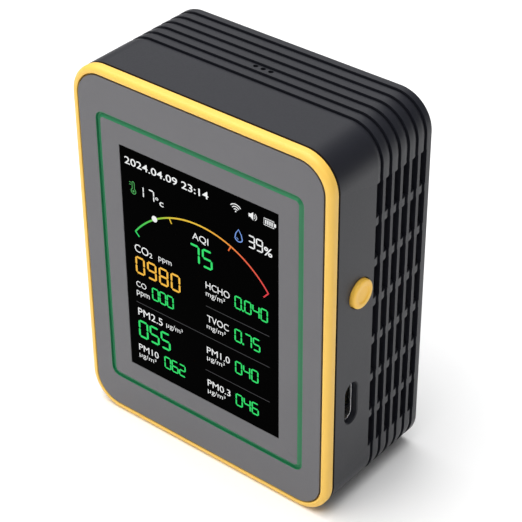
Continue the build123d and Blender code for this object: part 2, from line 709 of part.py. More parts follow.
lead_start = PCB_BACK + SOCKET_T + PLUG_T
lead_depth = BATTERY_D + LEAD_SET
for name, lead_z in (("lead_positive", LEAD_PITCH / 2), ("lead_negative", -LEAD_PITCH / 2)):
    with BuildPart() as lead:
        start = (SOCKET_X, FRONT + lead_start, SOCKET_Z + lead_z)
        bend = (SOCKET_X, FRONT + lead_depth, SOCKET_Z + lead_z)
        end = (BATTERY_W / 2, FRONT + lead_depth, SOCKET_Z + lead_z)
        bend_r = 0.45 * min(lead_depth - lead_start, SOCKET_X - BATTERY_W / 2)
        with BuildLine():
            FilletPolyline(start, bend, end, radius=bend_r)
        with BuildSketch(Plane(origin=start, x_dir=(1, 0, 0), z_dir=(0, 1, 0))):
            Circle(LEAD_D / 2)
        sweep()
    save(lead, name)

# ---------------------------------------------------------------------------
# Gas sensors, radio and other parts on the rear of the board
# ---------------------------------------------------------------------------
co2_x, co2_z = -4.5, MID_Z - 20.0
co2_0 = PCB_BACK + CO2_LIFT
with BuildPart() as co2_pins:
    with BuildSketch(depth_plane(PCB_BACK)):
        with Locations(*[(co2_x + sx * (CO2_W / 2 - 1.6), co2_z) for sx in (-1, 1)]):
            Rectangle(2.2, CO2_H - 4)
    extrude(amount=-CO2_LIFT)
save(co2_pins, "co2_pins")
co2_board = slab(co2_x, co2_z, CO2_W, CO2_H, co2_0, co2_0 + CO2_BOARD_T, 0.8)
save(co2_board, "co2_board")
co2_top = co2_0 + CO2_BOARD_T + CO2_CAVITY_T
with BuildPart() as co2_cavity:
    with BuildSketch(depth_plane(co2_0 + CO2_BOARD_T)):
        with Locations((co2_x, co2_z)):
            RectangleRounded(CO2_CAVITY_W, CO2_CAVITY_H, 2.5)
    extrude(amount=-CO2_CAVITY_T)
    fillet(co2_cavity.faces().sort_by(Axis.Y)[-1].edges(), 1.2)
save(co2_cavity, "co2_cavity")
co2_filter = slab(co2_x, co2_z, 12.0, 8.0, co2_top, co2_top + FILTER_T, 0.6)
save(co2_filter, "co2_filter")

co_x, co_z = 13.0, MID_Z + 20.0
co_cell = drum(co_x, co_z, CO_CELL_D, PCB_BACK, PCB_BACK + CO_CELL_T)
save(co_cell, "co_cell")
co_filter = drum(co_x, co_z, CO_CELL_D * 0.6, PCB_BACK + CO_CELL_T, PCB_BACK + CO_CELL_T + FILTER_T)
save(co_filter, "co_filter")

hcho_x, hcho_z = 13.0, MID_Z + 1.5
hcho_cell = slab(hcho_x, hcho_z, HCHO_W, HCHO_W, PCB_BACK, PCB_BACK + HCHO_T, 1.5)
save(hcho_cell, "hcho_cell")
hcho_filter = drum(hcho_x, hcho_z, HCHO_W * 0.6, PCB_BACK + HCHO_T, PCB_BACK + HCHO_T + FILTER_T)
save(hcho_filter, "hcho_filter")

tvoc_sensor = drum(-20.0, MID_Z - 4.5, TVOC_D, PCB_BACK, PCB_BACK + TVOC_T)
save(tvoc_sensor, "tvoc_sensor")
climate_sensor = slab(-PCB_EDGE + 3.0, MID_Z - 13.0, 3.0, 3.0, PCB_BACK, PCB_BACK + 1.0)
save(climate_sensor, "climate_sensor")
controller = slab(-7.0, MID_Z - 2.5, 10.0, 10.0, PCB_BACK, PCB_BACK + 1.2)
save(controller, "controller")
radio_board = slab(-13.0, MID_Z + 22.0, 15.0, 20.0, PCB_BACK, PCB_BACK + 0.8)
save(radio_board, "radio_board")
radio_shield = slab(-13.0, MID_Z + 19.5, 12.5, 13.0, PCB_BACK + 0.8, PCB_BACK + 3.0, 0.6)
save(radio_shield, "radio_shield")

# Speaker under the sound holes, sealed to the top by a foam ring
seal_z = TOP_IN - SPEAKER_SEAL_T
with BuildPart() as speaker_seal:
    with BuildSketch(Plane.XY.offset(seal_z)):
        with Locations((SOUND_HOLE_X, FRONT + SOUND_D)):
            Rectangle(SPEAKER_W, SPEAKER_L)
            Rectangle(SPEAKER_W - 2 * SPEAKER_SEAL_W, SPEAKER_L - 2 * SPEAKER_SEAL_W,
                      mode=Mode.SUBTRACT)
    extrude(amount=SPEAKER_SEAL_T)
save(speaker_seal, "speaker_seal")
with BuildPart() as speaker:
    with BuildSketch(Plane.XY.offset(seal_z)):
        with Locations((SOUND_HOLE_X, FRONT + SOUND_D)):
            Rectangle(SPEAKER_W, SPEAKER_L)
    extrude(amount=-SPEAKER_T)
    with BuildSketch(Plane.XY.offset(seal_z)):
        with Locations((SOUND_HOLE_X, FRONT + SOUND_D)):
            RectangleRounded(SPEAKER_W - 2 * SPEAKER_SEAL_W, SPEAKER_L - 2 * SPEAKER_SEAL_W, 2.0)
    extrude(amount=-0.4, mode=Mode.SUBTRACT)
save(speaker, "speaker")
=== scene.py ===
# %% [markdown]
# # A desktop air quality monitor
# The object is a small black tub with six ribs round its rear half, closed in front by a yellow
# ring. A grey plate with a thin green line lies in the ring, and a glossy black window lies in the
# plate. This file dresses the measured frame of that object: it makes the pieces that show,
# gives every piece a finish, and sets up the floor, the light and the camera.
# Everything is in metres. +Z is up and the display faces -Y.

# %% Load the frame
import bmesh
import bpy
import math
from mathutils import Matrix, Quaternion, Vector


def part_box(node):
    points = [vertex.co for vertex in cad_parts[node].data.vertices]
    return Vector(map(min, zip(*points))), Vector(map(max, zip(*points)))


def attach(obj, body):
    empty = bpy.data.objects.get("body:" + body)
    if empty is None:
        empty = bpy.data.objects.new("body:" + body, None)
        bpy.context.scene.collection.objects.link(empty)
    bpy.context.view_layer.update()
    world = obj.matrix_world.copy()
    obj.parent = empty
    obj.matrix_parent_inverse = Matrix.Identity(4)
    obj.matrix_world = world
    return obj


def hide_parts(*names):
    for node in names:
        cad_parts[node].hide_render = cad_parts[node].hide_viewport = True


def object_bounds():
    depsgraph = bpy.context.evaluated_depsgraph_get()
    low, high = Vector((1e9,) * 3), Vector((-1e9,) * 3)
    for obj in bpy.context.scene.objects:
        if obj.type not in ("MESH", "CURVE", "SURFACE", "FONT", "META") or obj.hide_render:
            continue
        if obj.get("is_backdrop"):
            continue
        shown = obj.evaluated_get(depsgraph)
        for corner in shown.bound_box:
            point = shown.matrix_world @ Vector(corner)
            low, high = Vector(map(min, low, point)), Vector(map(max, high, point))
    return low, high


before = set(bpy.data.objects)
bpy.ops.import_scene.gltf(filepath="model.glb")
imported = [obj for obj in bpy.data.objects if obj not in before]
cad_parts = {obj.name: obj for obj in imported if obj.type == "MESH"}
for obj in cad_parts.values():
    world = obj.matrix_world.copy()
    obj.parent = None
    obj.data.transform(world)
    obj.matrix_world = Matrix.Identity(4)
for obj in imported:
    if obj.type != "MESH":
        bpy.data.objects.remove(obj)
cad_low, cad_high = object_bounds()
MM = 0.001
print("frame, mm:", [round(v / MM, 2) for v in cad_high - cad_low])

# %% [markdown]
# ## Small tools
# A node tree is easier to read when each node is one call: what kind it is, how it is set, and what
# goes into it. The same call serves materials and Geometry Nodes. Colours are written as sRGB hex,
# as in a paint program, and shaders want linear light, so one function turns them. The others start
# a material and put an object into the scene.


# %% Helpers for nodes, colours, materials and objects
def add(tree, kind, settings=None, links=None):
    """Adds one node. settings are its properties, links its inputs by name or number."""
    node = tree.nodes.new(kind)
    for key, value in (settings or {}).items():
        setattr(node, key, value)
    for key, value in (links or {}).items():
        if isinstance(value, bpy.types.Node):
            value = value.outputs[0]
        if isinstance(value, bpy.types.NodeSocket):
            tree.links.new(value, node.inputs[key])
        else:
            node.inputs[key].default_value = value
    return node


def linear(code, gain=1.0):
    """An sRGB hex code as linear RGBA, brightened or darkened by gain."""
    channels = [int(code[i:i + 2], 16) / 255 for i in (0, 2, 4)]
    light = [c / 12.92 if c <= 0.04045 else ((c + 0.055) / 1.055) ** 2.4 for c in channels]
    return (*[min(1.0, c * gain) for c in light], 1.0)


def shaded(name, values):
    """A new material, its tree and its shader, with the shader's inputs set by name."""
    material = bpy.data.materials.new(name)
    material.use_nodes = True
    shader = material.node_tree.nodes["Principled BSDF"]
    for key, value in values.items():
        shader.inputs[key].default_value = value
    return material, material.node_tree, shader


def piece(name, data):
    """Puts a mesh, a bmesh, a text, a lamp or a camera into the scene as an object."""
    if isinstance(data, bmesh.types.BMesh):
        shape, data = data, bpy.data.meshes.new(name)
        shape.to_mesh(data)
        shape.free()
    made = bpy.data.objects.new(name, data)
    bpy.context.scene.collection.objects.link(made)
    return made


# %% [markdown]
# ## Camera, floor and light
# The camera stands in front, to the right of the object and above it, and looks down at it by about
# 35 degrees with a long lens, so the object's edges run nearly parallel. The floor is a plain pale
# sheet. The light is a studio's: dim even surroundings, a large soft ceiling that does most of the
# work, and three weak panels, behind on the left, on the right and in front. The black case shows
# mostly what it mirrors, so those panels set how its top and sides look.

# %% Camera
CAMERA_PLACE = Vector((0.18170, -0.21758, 0.23674))
LOOK_AZIMUTH, LOOK_DOWN, ROLL = (math.radians(a) for a in (39.429, 34.872, -0.408))
LENS = 123.35

look = Vector((-math.sin(LOOK_AZIMUTH) * math.cos(LOOK_DOWN),
               math.cos(LOOK_AZIMUTH) * math.cos(LOOK_DOWN), -math.sin(LOOK_DOWN)))
lens = bpy.data.cameras.new("camera")
lens.lens, lens.sensor_width = LENS, 36.0
lens.shift_x, lens.shift_y = -0.00096, 0.00096
lens.clip_start, lens.clip_end = 0.01, 10.0
camera = piece("camera", lens)
camera.rotation_mode = "QUATERNION"
camera.location = CAMERA_PLACE
camera.rotation_quaternion = look.to_track_quat("-Z", "Y") @ Quaternion((0, 0, 1), ROLL)
bpy.context.scene.camera = camera
print("camera to origin, mm:", round(CAMERA_PLACE.length / MM, 1))

# %% Floor
FLOOR_SIZE, FLOOR_GAP = 3.0, 0.02 * MM
sheet = bmesh.new()
bmesh.ops.create_grid(sheet, x_segments=8, y_segments=8, size=FLOOR_SIZE / 2)
floor = piece("floor", sheet)
floor.location = (0, 0, cad_low.z - FLOOR_GAP)
paper, _, _ = shaded("matt white paper", {
    "Base Color": linear("FAFAFA"), "Roughness": 0.9, "Specular IOR Level": 0.1})
floor.data.materials.append(paper)
floor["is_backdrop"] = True

# %% Light
bpy.context.scene.view_settings.view_transform = "Standard"
world = bpy.data.worlds.new("studio")
bpy.context.scene.world = world
world.use_nodes = True
surround = world.node_tree.nodes["Background"]
surround.inputs["Color"].default_value = (1, 1, 1, 1)
surround.inputs["Strength"].default_value = 0.13

for name, place, size, power in (
    ("soft_ceiling", (-0.15, -0.15, 1.00), 1.20, 17.4),
    ("soft_panel_back", (-0.60, 0.75, 0.70), 0.80, 1.6),
    ("soft_panel_right", (0.90, -0.35, 0.55), 0.50, 1.0),
    ("soft_panel_front", (-0.40, -1.10, 0.50), 0.80, 2.2),
):
    panel = bpy.data.lights.new(name, "AREA")
    panel.shape, panel.size, panel.energy = "SQUARE", size, power
    lamp = piece(name, panel)
    lamp.location = place
    aim = Vector((0, 0, 0.04)) - Vector(place)
    lamp.rotation_mode = "QUATERNION"
    lamp.rotation_quaternion = aim.to_track_quat("-Z", "Y")

# %% [markdown]
# ## Finishes
# Nearly every surface here has three things in common: a fine grain left by its mould, coating or
# rolling, a slow change of tone from place to place, and a gloss that varies a little. One recipe
# makes all three from noise in the piece's own coordinates. The grain's size and height are given
# in millimetres, so they stay real at any distance. The real mould grain is about 0.1 mm. It is
# drawn at 0.35 mm or more, because finer than that it would not show.


# %% One recipe for moulded, coated and rolled surfaces
def surface(name, code, rough, metal=0.0, grain=0.35, relief=0.006, mottle=0.05, scuff=0.04,
            ior=1.5, shine=0.5):
    """A material with grain (mm wide), relief (mm high), and slow changes of tone and gloss."""
    material, tree, shader = shaded(name, {
        "Metallic": metal, "IOR": ior, "Specular IOR Level": shine})
    place = add(tree, "ShaderNodeTexCoord").outputs["Object"]
    speck = add(tree, "ShaderNodeTexNoise", None,
                {"Vector": place, "Scale": 1 / (grain * MM), "Detail": 3.0, "Roughness": 0.6})
    cloud = add(tree, "ShaderNodeTexNoise", None,
                {"Vector": place, "Scale": 1 / (11 * MM), "Detail": 4.0, "Roughness": 0.65})
    tone = add(tree, "ShaderNodeValToRGB", None, {"Fac": cloud.outputs["Fac"]})
    tone.color_ramp.elements[0].position, tone.color_ramp.elements[1].position = 0.3, 0.7
    tone.color_ramp.elements[0].color = linear(code, 1 - mottle)
    tone.color_ramp.elements[1].color = linear(code, 1 + mottle)
    gloss = add(tree, "ShaderNodeMapRange", None,
                {"Value": speck.outputs["Fac"], "From Min": 0.3, "From Max": 0.7,
                 "To Min": rough - scuff, "To Max": rough + scuff})
    bump = add(tree, "ShaderNodeBump", None,
               {"Height": speck.outputs["Fac"], "Distance": relief * MM, "Strength": 1.0})
    tree.links.new(tone.outputs["Color"], shader.inputs["Base Color"])
    tree.links.new(gloss.outputs["Result"], shader.inputs["Roughness"])
    tree.links.new(bump.outputs["Normal"], shader.inputs["Normal"])
    return material


# %% [markdown]
# The table lists what each finish is in the real object. The first name is the record's slot, so
# that each measured piece finds its own finish.

# %% Finishes by slot
# the window's film holds back nearly all reflections, which a low index stands for
FILM_IOR = 1.05
FINISHES = {
    # outside: moulded ABS with a fine spark-eroded grain, painted plate, acrylic window
    "case_black": surface("black ABS, spark-eroded grain", "1C1D24", 0.43, relief=0.010,
                          shine=0.38),
    "ring_yellow": surface("yellow ABS, satin", "F7C75B", 0.40, relief=0.004, mottle=0.02,
                           shine=0.35),
    "panel_grey": surface("grey paint, matt", "626164", 0.50, relief=0.005, mottle=0.02),
    "trim_green": surface("green ABS inlay", "17784B", 0.40, relief=0.003),
    "lens_black": surface("black-backed acrylic", "010101", 0.07, relief=0.0, mottle=0.0,
                          scuff=0.01, ior=FILM_IOR, shine=0.2),
    "button_yellow": surface("yellow ABS, fine satin", "FFC952", 0.34, relief=0.003, mottle=0.02,
                             shine=0.3),
    # steel and brass
    "shell_steel": surface("rolled stainless steel", "E2E2E4", 0.22, 1.0, 0.6, 0.002),
    "tray_steel": surface("pressed tinplate", "B4B6B8", 0.34, 1.0, 0.8, 0.003),
    "screw_steel": surface("zinc-plated steel", "C2C3C5", 0.30, 1.0, 0.5, 0.003),
    "pins_brass": surface("gilt brass", "D9B45A", 0.28, 1.0, 0.5, 0.002),
    "cavity_gold": surface("gilt zinc casting", "D8B050", 0.32, 1.0, 0.7, 0.004),
    "cell_can": surface("nickel-plated can", "BFC0C2", 0.26, 1.0, 0.6, 0.002),
    "cell_foil": surface("battery foil wrap", "A9ADB2", 0.38, 1.0, 2.2, 0.020),
    "pm_shell": surface("tinned steel housing", "AEB0B2", 0.36, 1.0, 0.8, 0.003),
    # plastics inside
    "tongue_black": surface("glass-filled nylon", "0E0E0F", 0.45, relief=0.006),
    "switch_black": surface("black PBT", "141415", 0.45),
    "plunger_brown": surface("brown acetal", "5A4030", 0.35),
    "pm_plastic": surface("black polycarbonate", "1A1A1C", 0.40),
    "motor_white": surface("white nylon", "D8D6CF", 0.45),
    "plug_white": surface("natural nylon", "E6E2D6", 0.42),
    "cell_white": surface("white polypropylene", "E2E3E2", 0.40),
    "lead_red": surface("red PVC lead", "B3201E", 0.38, relief=0.003),
    "lead_black": surface("black PVC lead", "161617", 0.38, relief=0.003),
    "chip_black": surface("black epoxy", "18181A", 0.55, relief=0.008),
    "board_green": surface("green solder mask", "0E4A2C", 0.30, grain=1.6, relief=0.012),
    "flex_amber": surface("amber polyimide film", "A5662A", 0.28, grain=1.2),
    # glass, foam, film and tape
    "lcd_glass": surface("display glass", "101214", 0.08, relief=0.0),
    "light_guide": surface("frosted light guide", "E9ECEF", 0.35),
    "foam_black": surface("black cell foam", "19191A", 0.95, grain=0.5, relief=0.16),
    "tape_white": surface("foam tape", "E4E4E0", 0.80, grain=0.7, relief=0.05),
    "membrane_white": surface("white filter membrane", "EDEDEA", 0.90, grain=0.5, relief=0.06),
}
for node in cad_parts.values():
    node.data.materials[0] = FINISHES[node.data.materials[0].name.split(".")[0]]
print("finishes:", len(FINISHES))


# %% [markdown]
# ## Placing a finished piece
# A finished piece stays at the origin with its place in its mesh. It shades smoothly except at real
# corners, and a corner that the eye can catch gets a narrow bevel, because no moulded edge is
# perfectly sharp and the bevel is what draws the thin bright line along it.


# %% Helpers for making and placing pieces
def block(name, middle, size):
    """A closed box, from its middle and its size."""
    shape = bmesh.new()
    bmesh.ops.create_cube(shape, size=1.0)
    for v in shape.verts:
        v.co = Vector(middle) + Vector([share * whole for share, whole in zip(v.co, size)])
    return piece(name, shape)


def applied(made):
    """The object's mesh with its modifiers worked in, as a plain object of the same name."""
    graph = bpy.context.evaluated_depsgraph_get()
    mesh = bpy.data.meshes.new_from_object(made.evaluated_get(graph))
    name = made.name
    bpy.data.objects.remove(made)
    return piece(name, mesh)


def settle(made, slot, body="housing", stands_for=(), ease=0.0, finish=None, crease=30):
    """Smooths, eases, finishes and seats a piece on its body."""
    made.data.materials.clear()
    made.data.materials.append(finish or FINISHES[slot])
    for face in made.data.polygons:
        face.use_smooth = True
    made.data.set_sharp_from_angle(angle=math.radians(crease))
    if ease:
        bevel = made.modifiers.new("eased edges", "BEVEL")
        bevel.width, bevel.segments, bevel.limit_method = ease * MM, 2, "ANGLE"
        bevel.angle_limit, bevel.harden_normals = math.radians(crease), True
        bevel.use_clamp_overlap = True
    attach(made, body)
    if stands_for:
        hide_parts(*stands_for)
    print(f"{made.name}: {len(made.data.polygons)} faces")
    return made


def carve(made, cutter, operation="DIFFERENCE"):
    """Cuts or joins one closed shape with another and clears the cutter away."""
    knife = made.modifiers.new("carve", "BOOLEAN")
    knife.operation, knife.object, knife.solver = operation, cutter, "MANIFOLD"
    cut = applied(made)
    bpy.data.objects.remove(cutter)
    return cut


# %% [markdown]
# ## Geometry Nodes helpers
# A tree is made empty with named inputs. To use it, its values are set on the modifier by each
# socket's identifier, and the evaluated result is copied out as a plain mesh.


# %% Making and running a tree
def new_tree(name, inputs):
    """A Geometry Nodes tree with a geometry input and output and further named inputs."""
    tree = bpy.data.node_groups.new(name, "GeometryNodeTree")
    tree.interface.new_socket("Geometry", in_out="INPUT", socket_type="NodeSocketGeometry")
    for label, kind in inputs.items():
        tree.interface.new_socket(label, in_out="INPUT", socket_type="NodeSocket" + kind)
    tree.interface.new_socket("Geometry", in_out="OUTPUT", socket_type="NodeSocketGeometry")
    return tree, add(tree, "NodeGroupInput").outputs


def end_tree(tree, geometry, material):
    """Ends a tree: instances made real, the material set, then out."""
    real = add(tree, "GeometryNodeRealizeInstances", None, {"Geometry": geometry})
    dressed = add(tree, "GeometryNodeSetMaterial", None, {"Geometry": real, "Material": material})
    add(tree, "NodeGroupOutput", None, {0: dressed})


def grown(name, base, tree, values):
    """Runs a tree on a base mesh or bmesh and gives back the plain result."""
    holder = piece(name, base)
    modifier = holder.modifiers.new("nodes", "NODES")
    modifier.node_group = tree
    for item in tree.interface.items_tree:
        if item.in_out == "INPUT" and item.name in values:
            modifier[item.identifier] = values[item.name]
    return applied(holder)


# %% [markdown]
# ## A wall swept round the case
# The tub and the ring are both one section carried round the same rounded rectangle. The section is
# drawn as (outwards, depth) in millimetres: 0 outwards is the outside of the case, and depth 0 is
# the front. Curve to Mesh sweeps it, which keeps every rib exactly parallel round the corners.
# Its two open ends are then closed with flat plates.

# %% Tree: sweep a section round a rounded rectangle
sweep_tree, given = new_tree("section round a rounded rectangle", {
    "Width": "Float", "Height": "Float", "Corner radius": "Float", "Corner steps": "Int",
    "Front": "Float", "Material": "Material"})
girth = add(sweep_tree, "GeometryNodeCurvePrimitiveQuadrilateral", None,
            {"Width": given["Width"], "Height": given["Height"]})
rounded = add(sweep_tree, "GeometryNodeFilletCurve", {"mode": "POLY"},
              {"Curve": girth, "Count": given["Corner steps"], "Radius": given["Corner radius"]})
upright = add(sweep_tree, "GeometryNodeSetCurveNormal", {"mode": "Z_UP"}, {"Curve": rounded})
section = add(sweep_tree, "GeometryNodeMeshToCurve", None, {"Mesh": given["Geometry"]})
swept = add(sweep_tree, "GeometryNodeCurveToMesh", None,
            {"Curve": upright, "Profile Curve": section})
half_height = add(sweep_tree, "ShaderNodeMath", {"operation": "MULTIPLY"},
                  {0: given["Height"], 1: 0.5})
seat = add(sweep_tree, "ShaderNodeCombineXYZ", None, {"Y": given["Front"], "Z": half_height})
stood = add(sweep_tree, "GeometryNodeTransform", None,
            {"Geometry": swept, "Translation": seat, "Rotation": (math.pi / 2, 0, 0)})
end_tree(sweep_tree, stood, given["Material"])


# %% Close a swept wall
def arc(cx, cy, radius, start, end, steps=6):
    """Points of an arc in a section, angles in degrees."""
    turn = [math.radians(start + (end - start) * k / steps) for k in range(steps + 1)]
    return [(cx + radius * math.cos(a), cy + radius * math.sin(a)) for a in turn]


SIDE_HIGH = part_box("rear_case")[1]
FACE_LOW, FACE_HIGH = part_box("front_frame")
CASE_W, CASE_H, FRONT = (FACE_HIGH.x - FACE_LOW.x), (FACE_HIGH.z - FACE_LOW.z), FACE_LOW.y
CORNER_R = 7.2 * MM


def swept_shell(name, points, width=CASE_W, height=CASE_H, corner=CORNER_R, loop=False):
    """Sweeps a section round a rounded rectangle. An open section is closed by flat plates."""
    chain = bpy.data.meshes.new(name)
    links = [(k, k + 1) for k in range(len(points) - 1)] + [(len(points) - 1, 0)] * loop
    chain.from_pydata([(out * MM, depth * MM, 0) for out, depth in points], links, [])
    wall = grown(name, chain, sweep_tree, {
        "Width": width, "Height": height, "Corner radius": corner, "Corner steps": 20,
        "Front": FRONT, "Material": FINISHES["case_black"]})
    shape = bmesh.new()
    shape.from_mesh(wall.data)
    bmesh.ops.remove_doubles(shape, verts=shape.verts, dist=1e-6)
    bmesh.ops.holes_fill(shape, edges=[e for e in shape.edges if e.is_boundary], sides=0)
    bmesh.ops.recalc_face_normals(shape, faces=shape.faces)
    bpy.data.objects.remove(wall)
    return piece(name, shape)


# %% [markdown]
# ## The ribbed tub
# Each rib starts with a crisp edge, has a flat crest, and then rolls off gently towards the next
# narrow groove. The vent slots lie in the grooves on both sides, seven rows of six.

# %% Section of the tub
RIBS, RIB_PITCH, CREST, LAST_RIB = 6, 2.64, 1.0, 1.82
FLANK_DROP, GROOVE_W, GROOVE_DROP = 0.36, 0.3, 0.9
WALL, SEAM_DEPTH, BACK_R = 2.0, 2.4, 0.6
CASE_D = (SIDE_HIGH.y - FRONT) / MM
flank = RIB_PITCH - CREST
rib_edges = [CASE_D - LAST_RIB - k * RIB_PITCH for k in reversed(range(RIBS))]

tub_section = [(-WALL, CASE_D - WALL), (-WALL, SEAM_DEPTH), (0, SEAM_DEPTH)]
for edge in rib_edges:
    roll = (flank - GROOVE_W)
    radius = (roll ** 2 + FLANK_DROP ** 2) / (2 * FLANK_DROP)
    reach = math.degrees(math.asin(roll / radius))
    tub_section += [(radius * math.cos(math.radians(reach * k / 6)) - radius,
                     edge - flank + radius * math.sin(math.radians(reach * k / 6)))
                    for k in range(7)]
    tub_section += [(-GROOVE_DROP, edge - GROOVE_W), (-GROOVE_DROP, edge), (0, edge)]
tub_section += arc(-BACK_R, CASE_D - BACK_R, BACK_R, 0, 90)
tub_section += [(-WALL, CASE_D)]
tub = swept_shell("case_tub", tub_section)
print("tub section points:", len(tub_section))

# %% [markdown]
# The slots repeat in rows, so a tree lays one cutter on a grid of points and takes them all out of
# the wall at once. One cutter reaches through both sides. It is a little wider than the groove, so
# each crest is slimmer beside a slot and full where the wall is left between two rows.

# %% Tree: rows of slots cut through both sides
vent_tree, given = new_tree("rows of slots through both sides", {
    "Rows": "Int", "Columns": "Int", "Row span": "Float", "Column span": "Float",
    "Slot": "Vector", "Middle": "Vector", "Material": "Material"})
grid = add(vent_tree, "GeometryNodeMeshGrid", None,
           {"Size X": given["Column span"], "Size Y": given["Row span"],
            "Vertices X": given["Columns"], "Vertices Y": given["Rows"]})
spread = add(vent_tree, "GeometryNodeTransform", None,
             {"Geometry": grid, "Translation": given["Middle"],
              "Rotation": (math.pi / 2, 0, math.pi / 2)})
cutter = add(vent_tree, "GeometryNodeMeshCube", None, {"Size": given["Slot"]})
cutters = add(vent_tree, "GeometryNodeInstanceOnPoints", None,
              {"Points": spread, "Instance": cutter})
cut = add(vent_tree, "GeometryNodeMeshBoolean", {"operation": "DIFFERENCE", "solver": "MANIFOLD"},
          {"Mesh 1": given["Geometry"],
           "Mesh 2": add(vent_tree, "GeometryNodeRealizeInstances", None, {"Geometry": cutters})})
end_tree(vent_tree, cut, given["Material"])

# %% Cut the vents
SLOT_ROWS, ROW_PITCH, SLOT_H, SLOT_EXTRA = 7, 8.77, 7.1, 0.12
solid_wall = tub.data.copy()
bpy.data.objects.remove(tub)
tub = grown("case_tub", solid_wall, vent_tree, {
    "Rows": SLOT_ROWS, "Columns": RIBS, "Row span": (SLOT_ROWS - 1) * ROW_PITCH * MM,
    "Column span": (RIBS - 1) * RIB_PITCH * MM,
    "Slot": (CASE_W + 4 * MM, (flank + 2 * SLOT_EXTRA) * MM, SLOT_H * MM),
    "Middle": (0, FRONT + ((rib_edges[0] + rib_edges[-1] - flank) / 2) * MM, CASE_H / 2),
    "Material": FINISHES["case_black"]})
print("tub after vents:", len(tub.data.polygons), "faces")


# %% [markdown]
# The round and slotted holes are cut one by one: three sound holes in the second rib of the top,
# the button's hole, the charging socket's cut-out, and four deep screw holes from the rear.

# %% Rods as cutters
def prism(name, ends):
    """A closed piece between two matching outlines."""
    shape = bmesh.new()
    first, last = [[shape.verts.new(p) for p in end] for end in ends]
    shape.faces.new(first)
    shape.faces.new(last)
    for k in range(len(first)):
        shape.faces.new((first[k], first[k - 1], last[k - 1], last[k]))
    bmesh.ops.recalc_face_normals(shape, faces=shape.faces)
    return piece(name, shape)


def rod(name, centre, radius, length, axis, steps=48, stretch=0.0, flare=0.0):
    """A closed rod, or a slot-shaped bar when it is stretched. A flare widens its far end."""
    angles = [2 * math.pi * (k + 0.5) / steps for k in range(steps)]
    turn = {"X": lambda u, v, w: (w, u, v), "Y": lambda u, v, w: (u, w, v),
            "Z": lambda u, v, w: (u, v, w)}[axis]
    return prism(name, [[Vector(centre) + Vector(turn(
        wide * math.cos(a), wide * math.sin(a) + math.copysign(stretch / 2, math.sin(a)), w))
        for a in angles] for w, wide in ((-length / 2, radius - flare),
                                         (length / 2, radius + flare))])


# %% Sound holes, button hole, socket cut-out
SOUND_D, SOUND_PITCH, SOUND_X, SOUND_SET = 1.05, 1.77, 0.5, 1.2
button_low, button_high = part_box("power_button")
usb_low, usb_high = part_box("usb_shell")
BUTTON_R, BUTTON_FIT = 5.85 / 2 * MM, 0.15 * MM
button_mid = (button_low + button_high) / 2
SHELL_T, SHELL_H = 3.2 * MM, 8.94 * MM
USB_SIDE, USB_END = 0.27 * MM, 0.2 * MM
usb_mid = Vector((0, usb_low.y + SHELL_T / 2, (usb_low.z + usb_high.z) / 2))

for k in (-1, 0, 1):
    place = ((SOUND_X + k * SOUND_PITCH) * MM, FRONT + (rib_edges[1] + SOUND_SET) * MM, CASE_H)
    tub = carve(tub, rod("sound_cutter", place, SOUND_D / 2 * MM, 6 * MM, "Z", 24))
button_seat = (CASE_W / 2, button_mid.y, button_mid.z)
tub = carve(tub, rod("button_cutter", button_seat, BUTTON_R + BUTTON_FIT, 6 * MM, "X"))
tub = carve(tub, rod("button_edge", button_seat, BUTTON_R + BUTTON_FIT + 0.12 * MM, 1 * MM, "X",
                     flare=0.5 * MM))
cut_r = SHELL_T / 2 + USB_SIDE
usb_seat, usb_long = (CASE_W / 2, usb_mid.y, usb_mid.z), SHELL_H + 2 * USB_END - 2 * cut_r
tub = carve(tub, rod("usb_cutter", usb_seat, cut_r, 6 * MM, "X", stretch=usb_long))
tub = carve(tub, rod("usb_edge", usb_seat, cut_r + 0.2 * MM, 1 * MM, "X", stretch=usb_long,
                     flare=0.5 * MM))
print("tub after holes:", len(tub.data.polygons), "faces")

# %% Screw columns, open to the rear
HEAD_R, COLUMN_R, HEAD_HOLE_R, SHANK_HOLE_R = 1.8 * MM, 3.0 * MM, 2.1 * MM, 1.15 * MM
MEET, SEAT_T, SPARE = 15.0 * MM, 2.0 * MM, 1.0 * MM


def corners(node):
    """The places, across and up, of a set of four screws."""
    low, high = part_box(node)
    x, z = high.x - HEAD_R, (high.z - low.z) / 2 - HEAD_R
    return [(sx * x, CASE_H / 2 + sz * z) for sx in (-1, 1) for sz in (-1, 1)]


meet, back = FRONT + MEET, FRONT + CASE_D * MM
long, deep = back - SPARE - meet, back + SPARE - (meet + SEAT_T)
for x, z in corners("case_screws"):
    tub = carve(tub, rod("column", (x, meet + long / 2, z), COLUMN_R, long, "Y", 32), "UNION")
    tub = carve(tub, rod("head_cutter", (x, meet + SEAT_T + deep / 2, z), HEAD_HOLE_R, deep, "Y",
                         32))
    tub = carve(tub, rod("shank_cutter", (x, meet + SEAT_T, z), SHANK_HOLE_R, 2.5 * SEAT_T, "Y",
                         24))
settle(tub, "case_black", stands_for=["rear_case"], ease=0.12)

# %% [markdown]
# ## The yellow ring
# The ring's front edge is rounded over more than a millimetre, so it shows a soft band of light and
# no hard line. Behind the plate it carries a thin floor, and a skirt that slips into the tub.

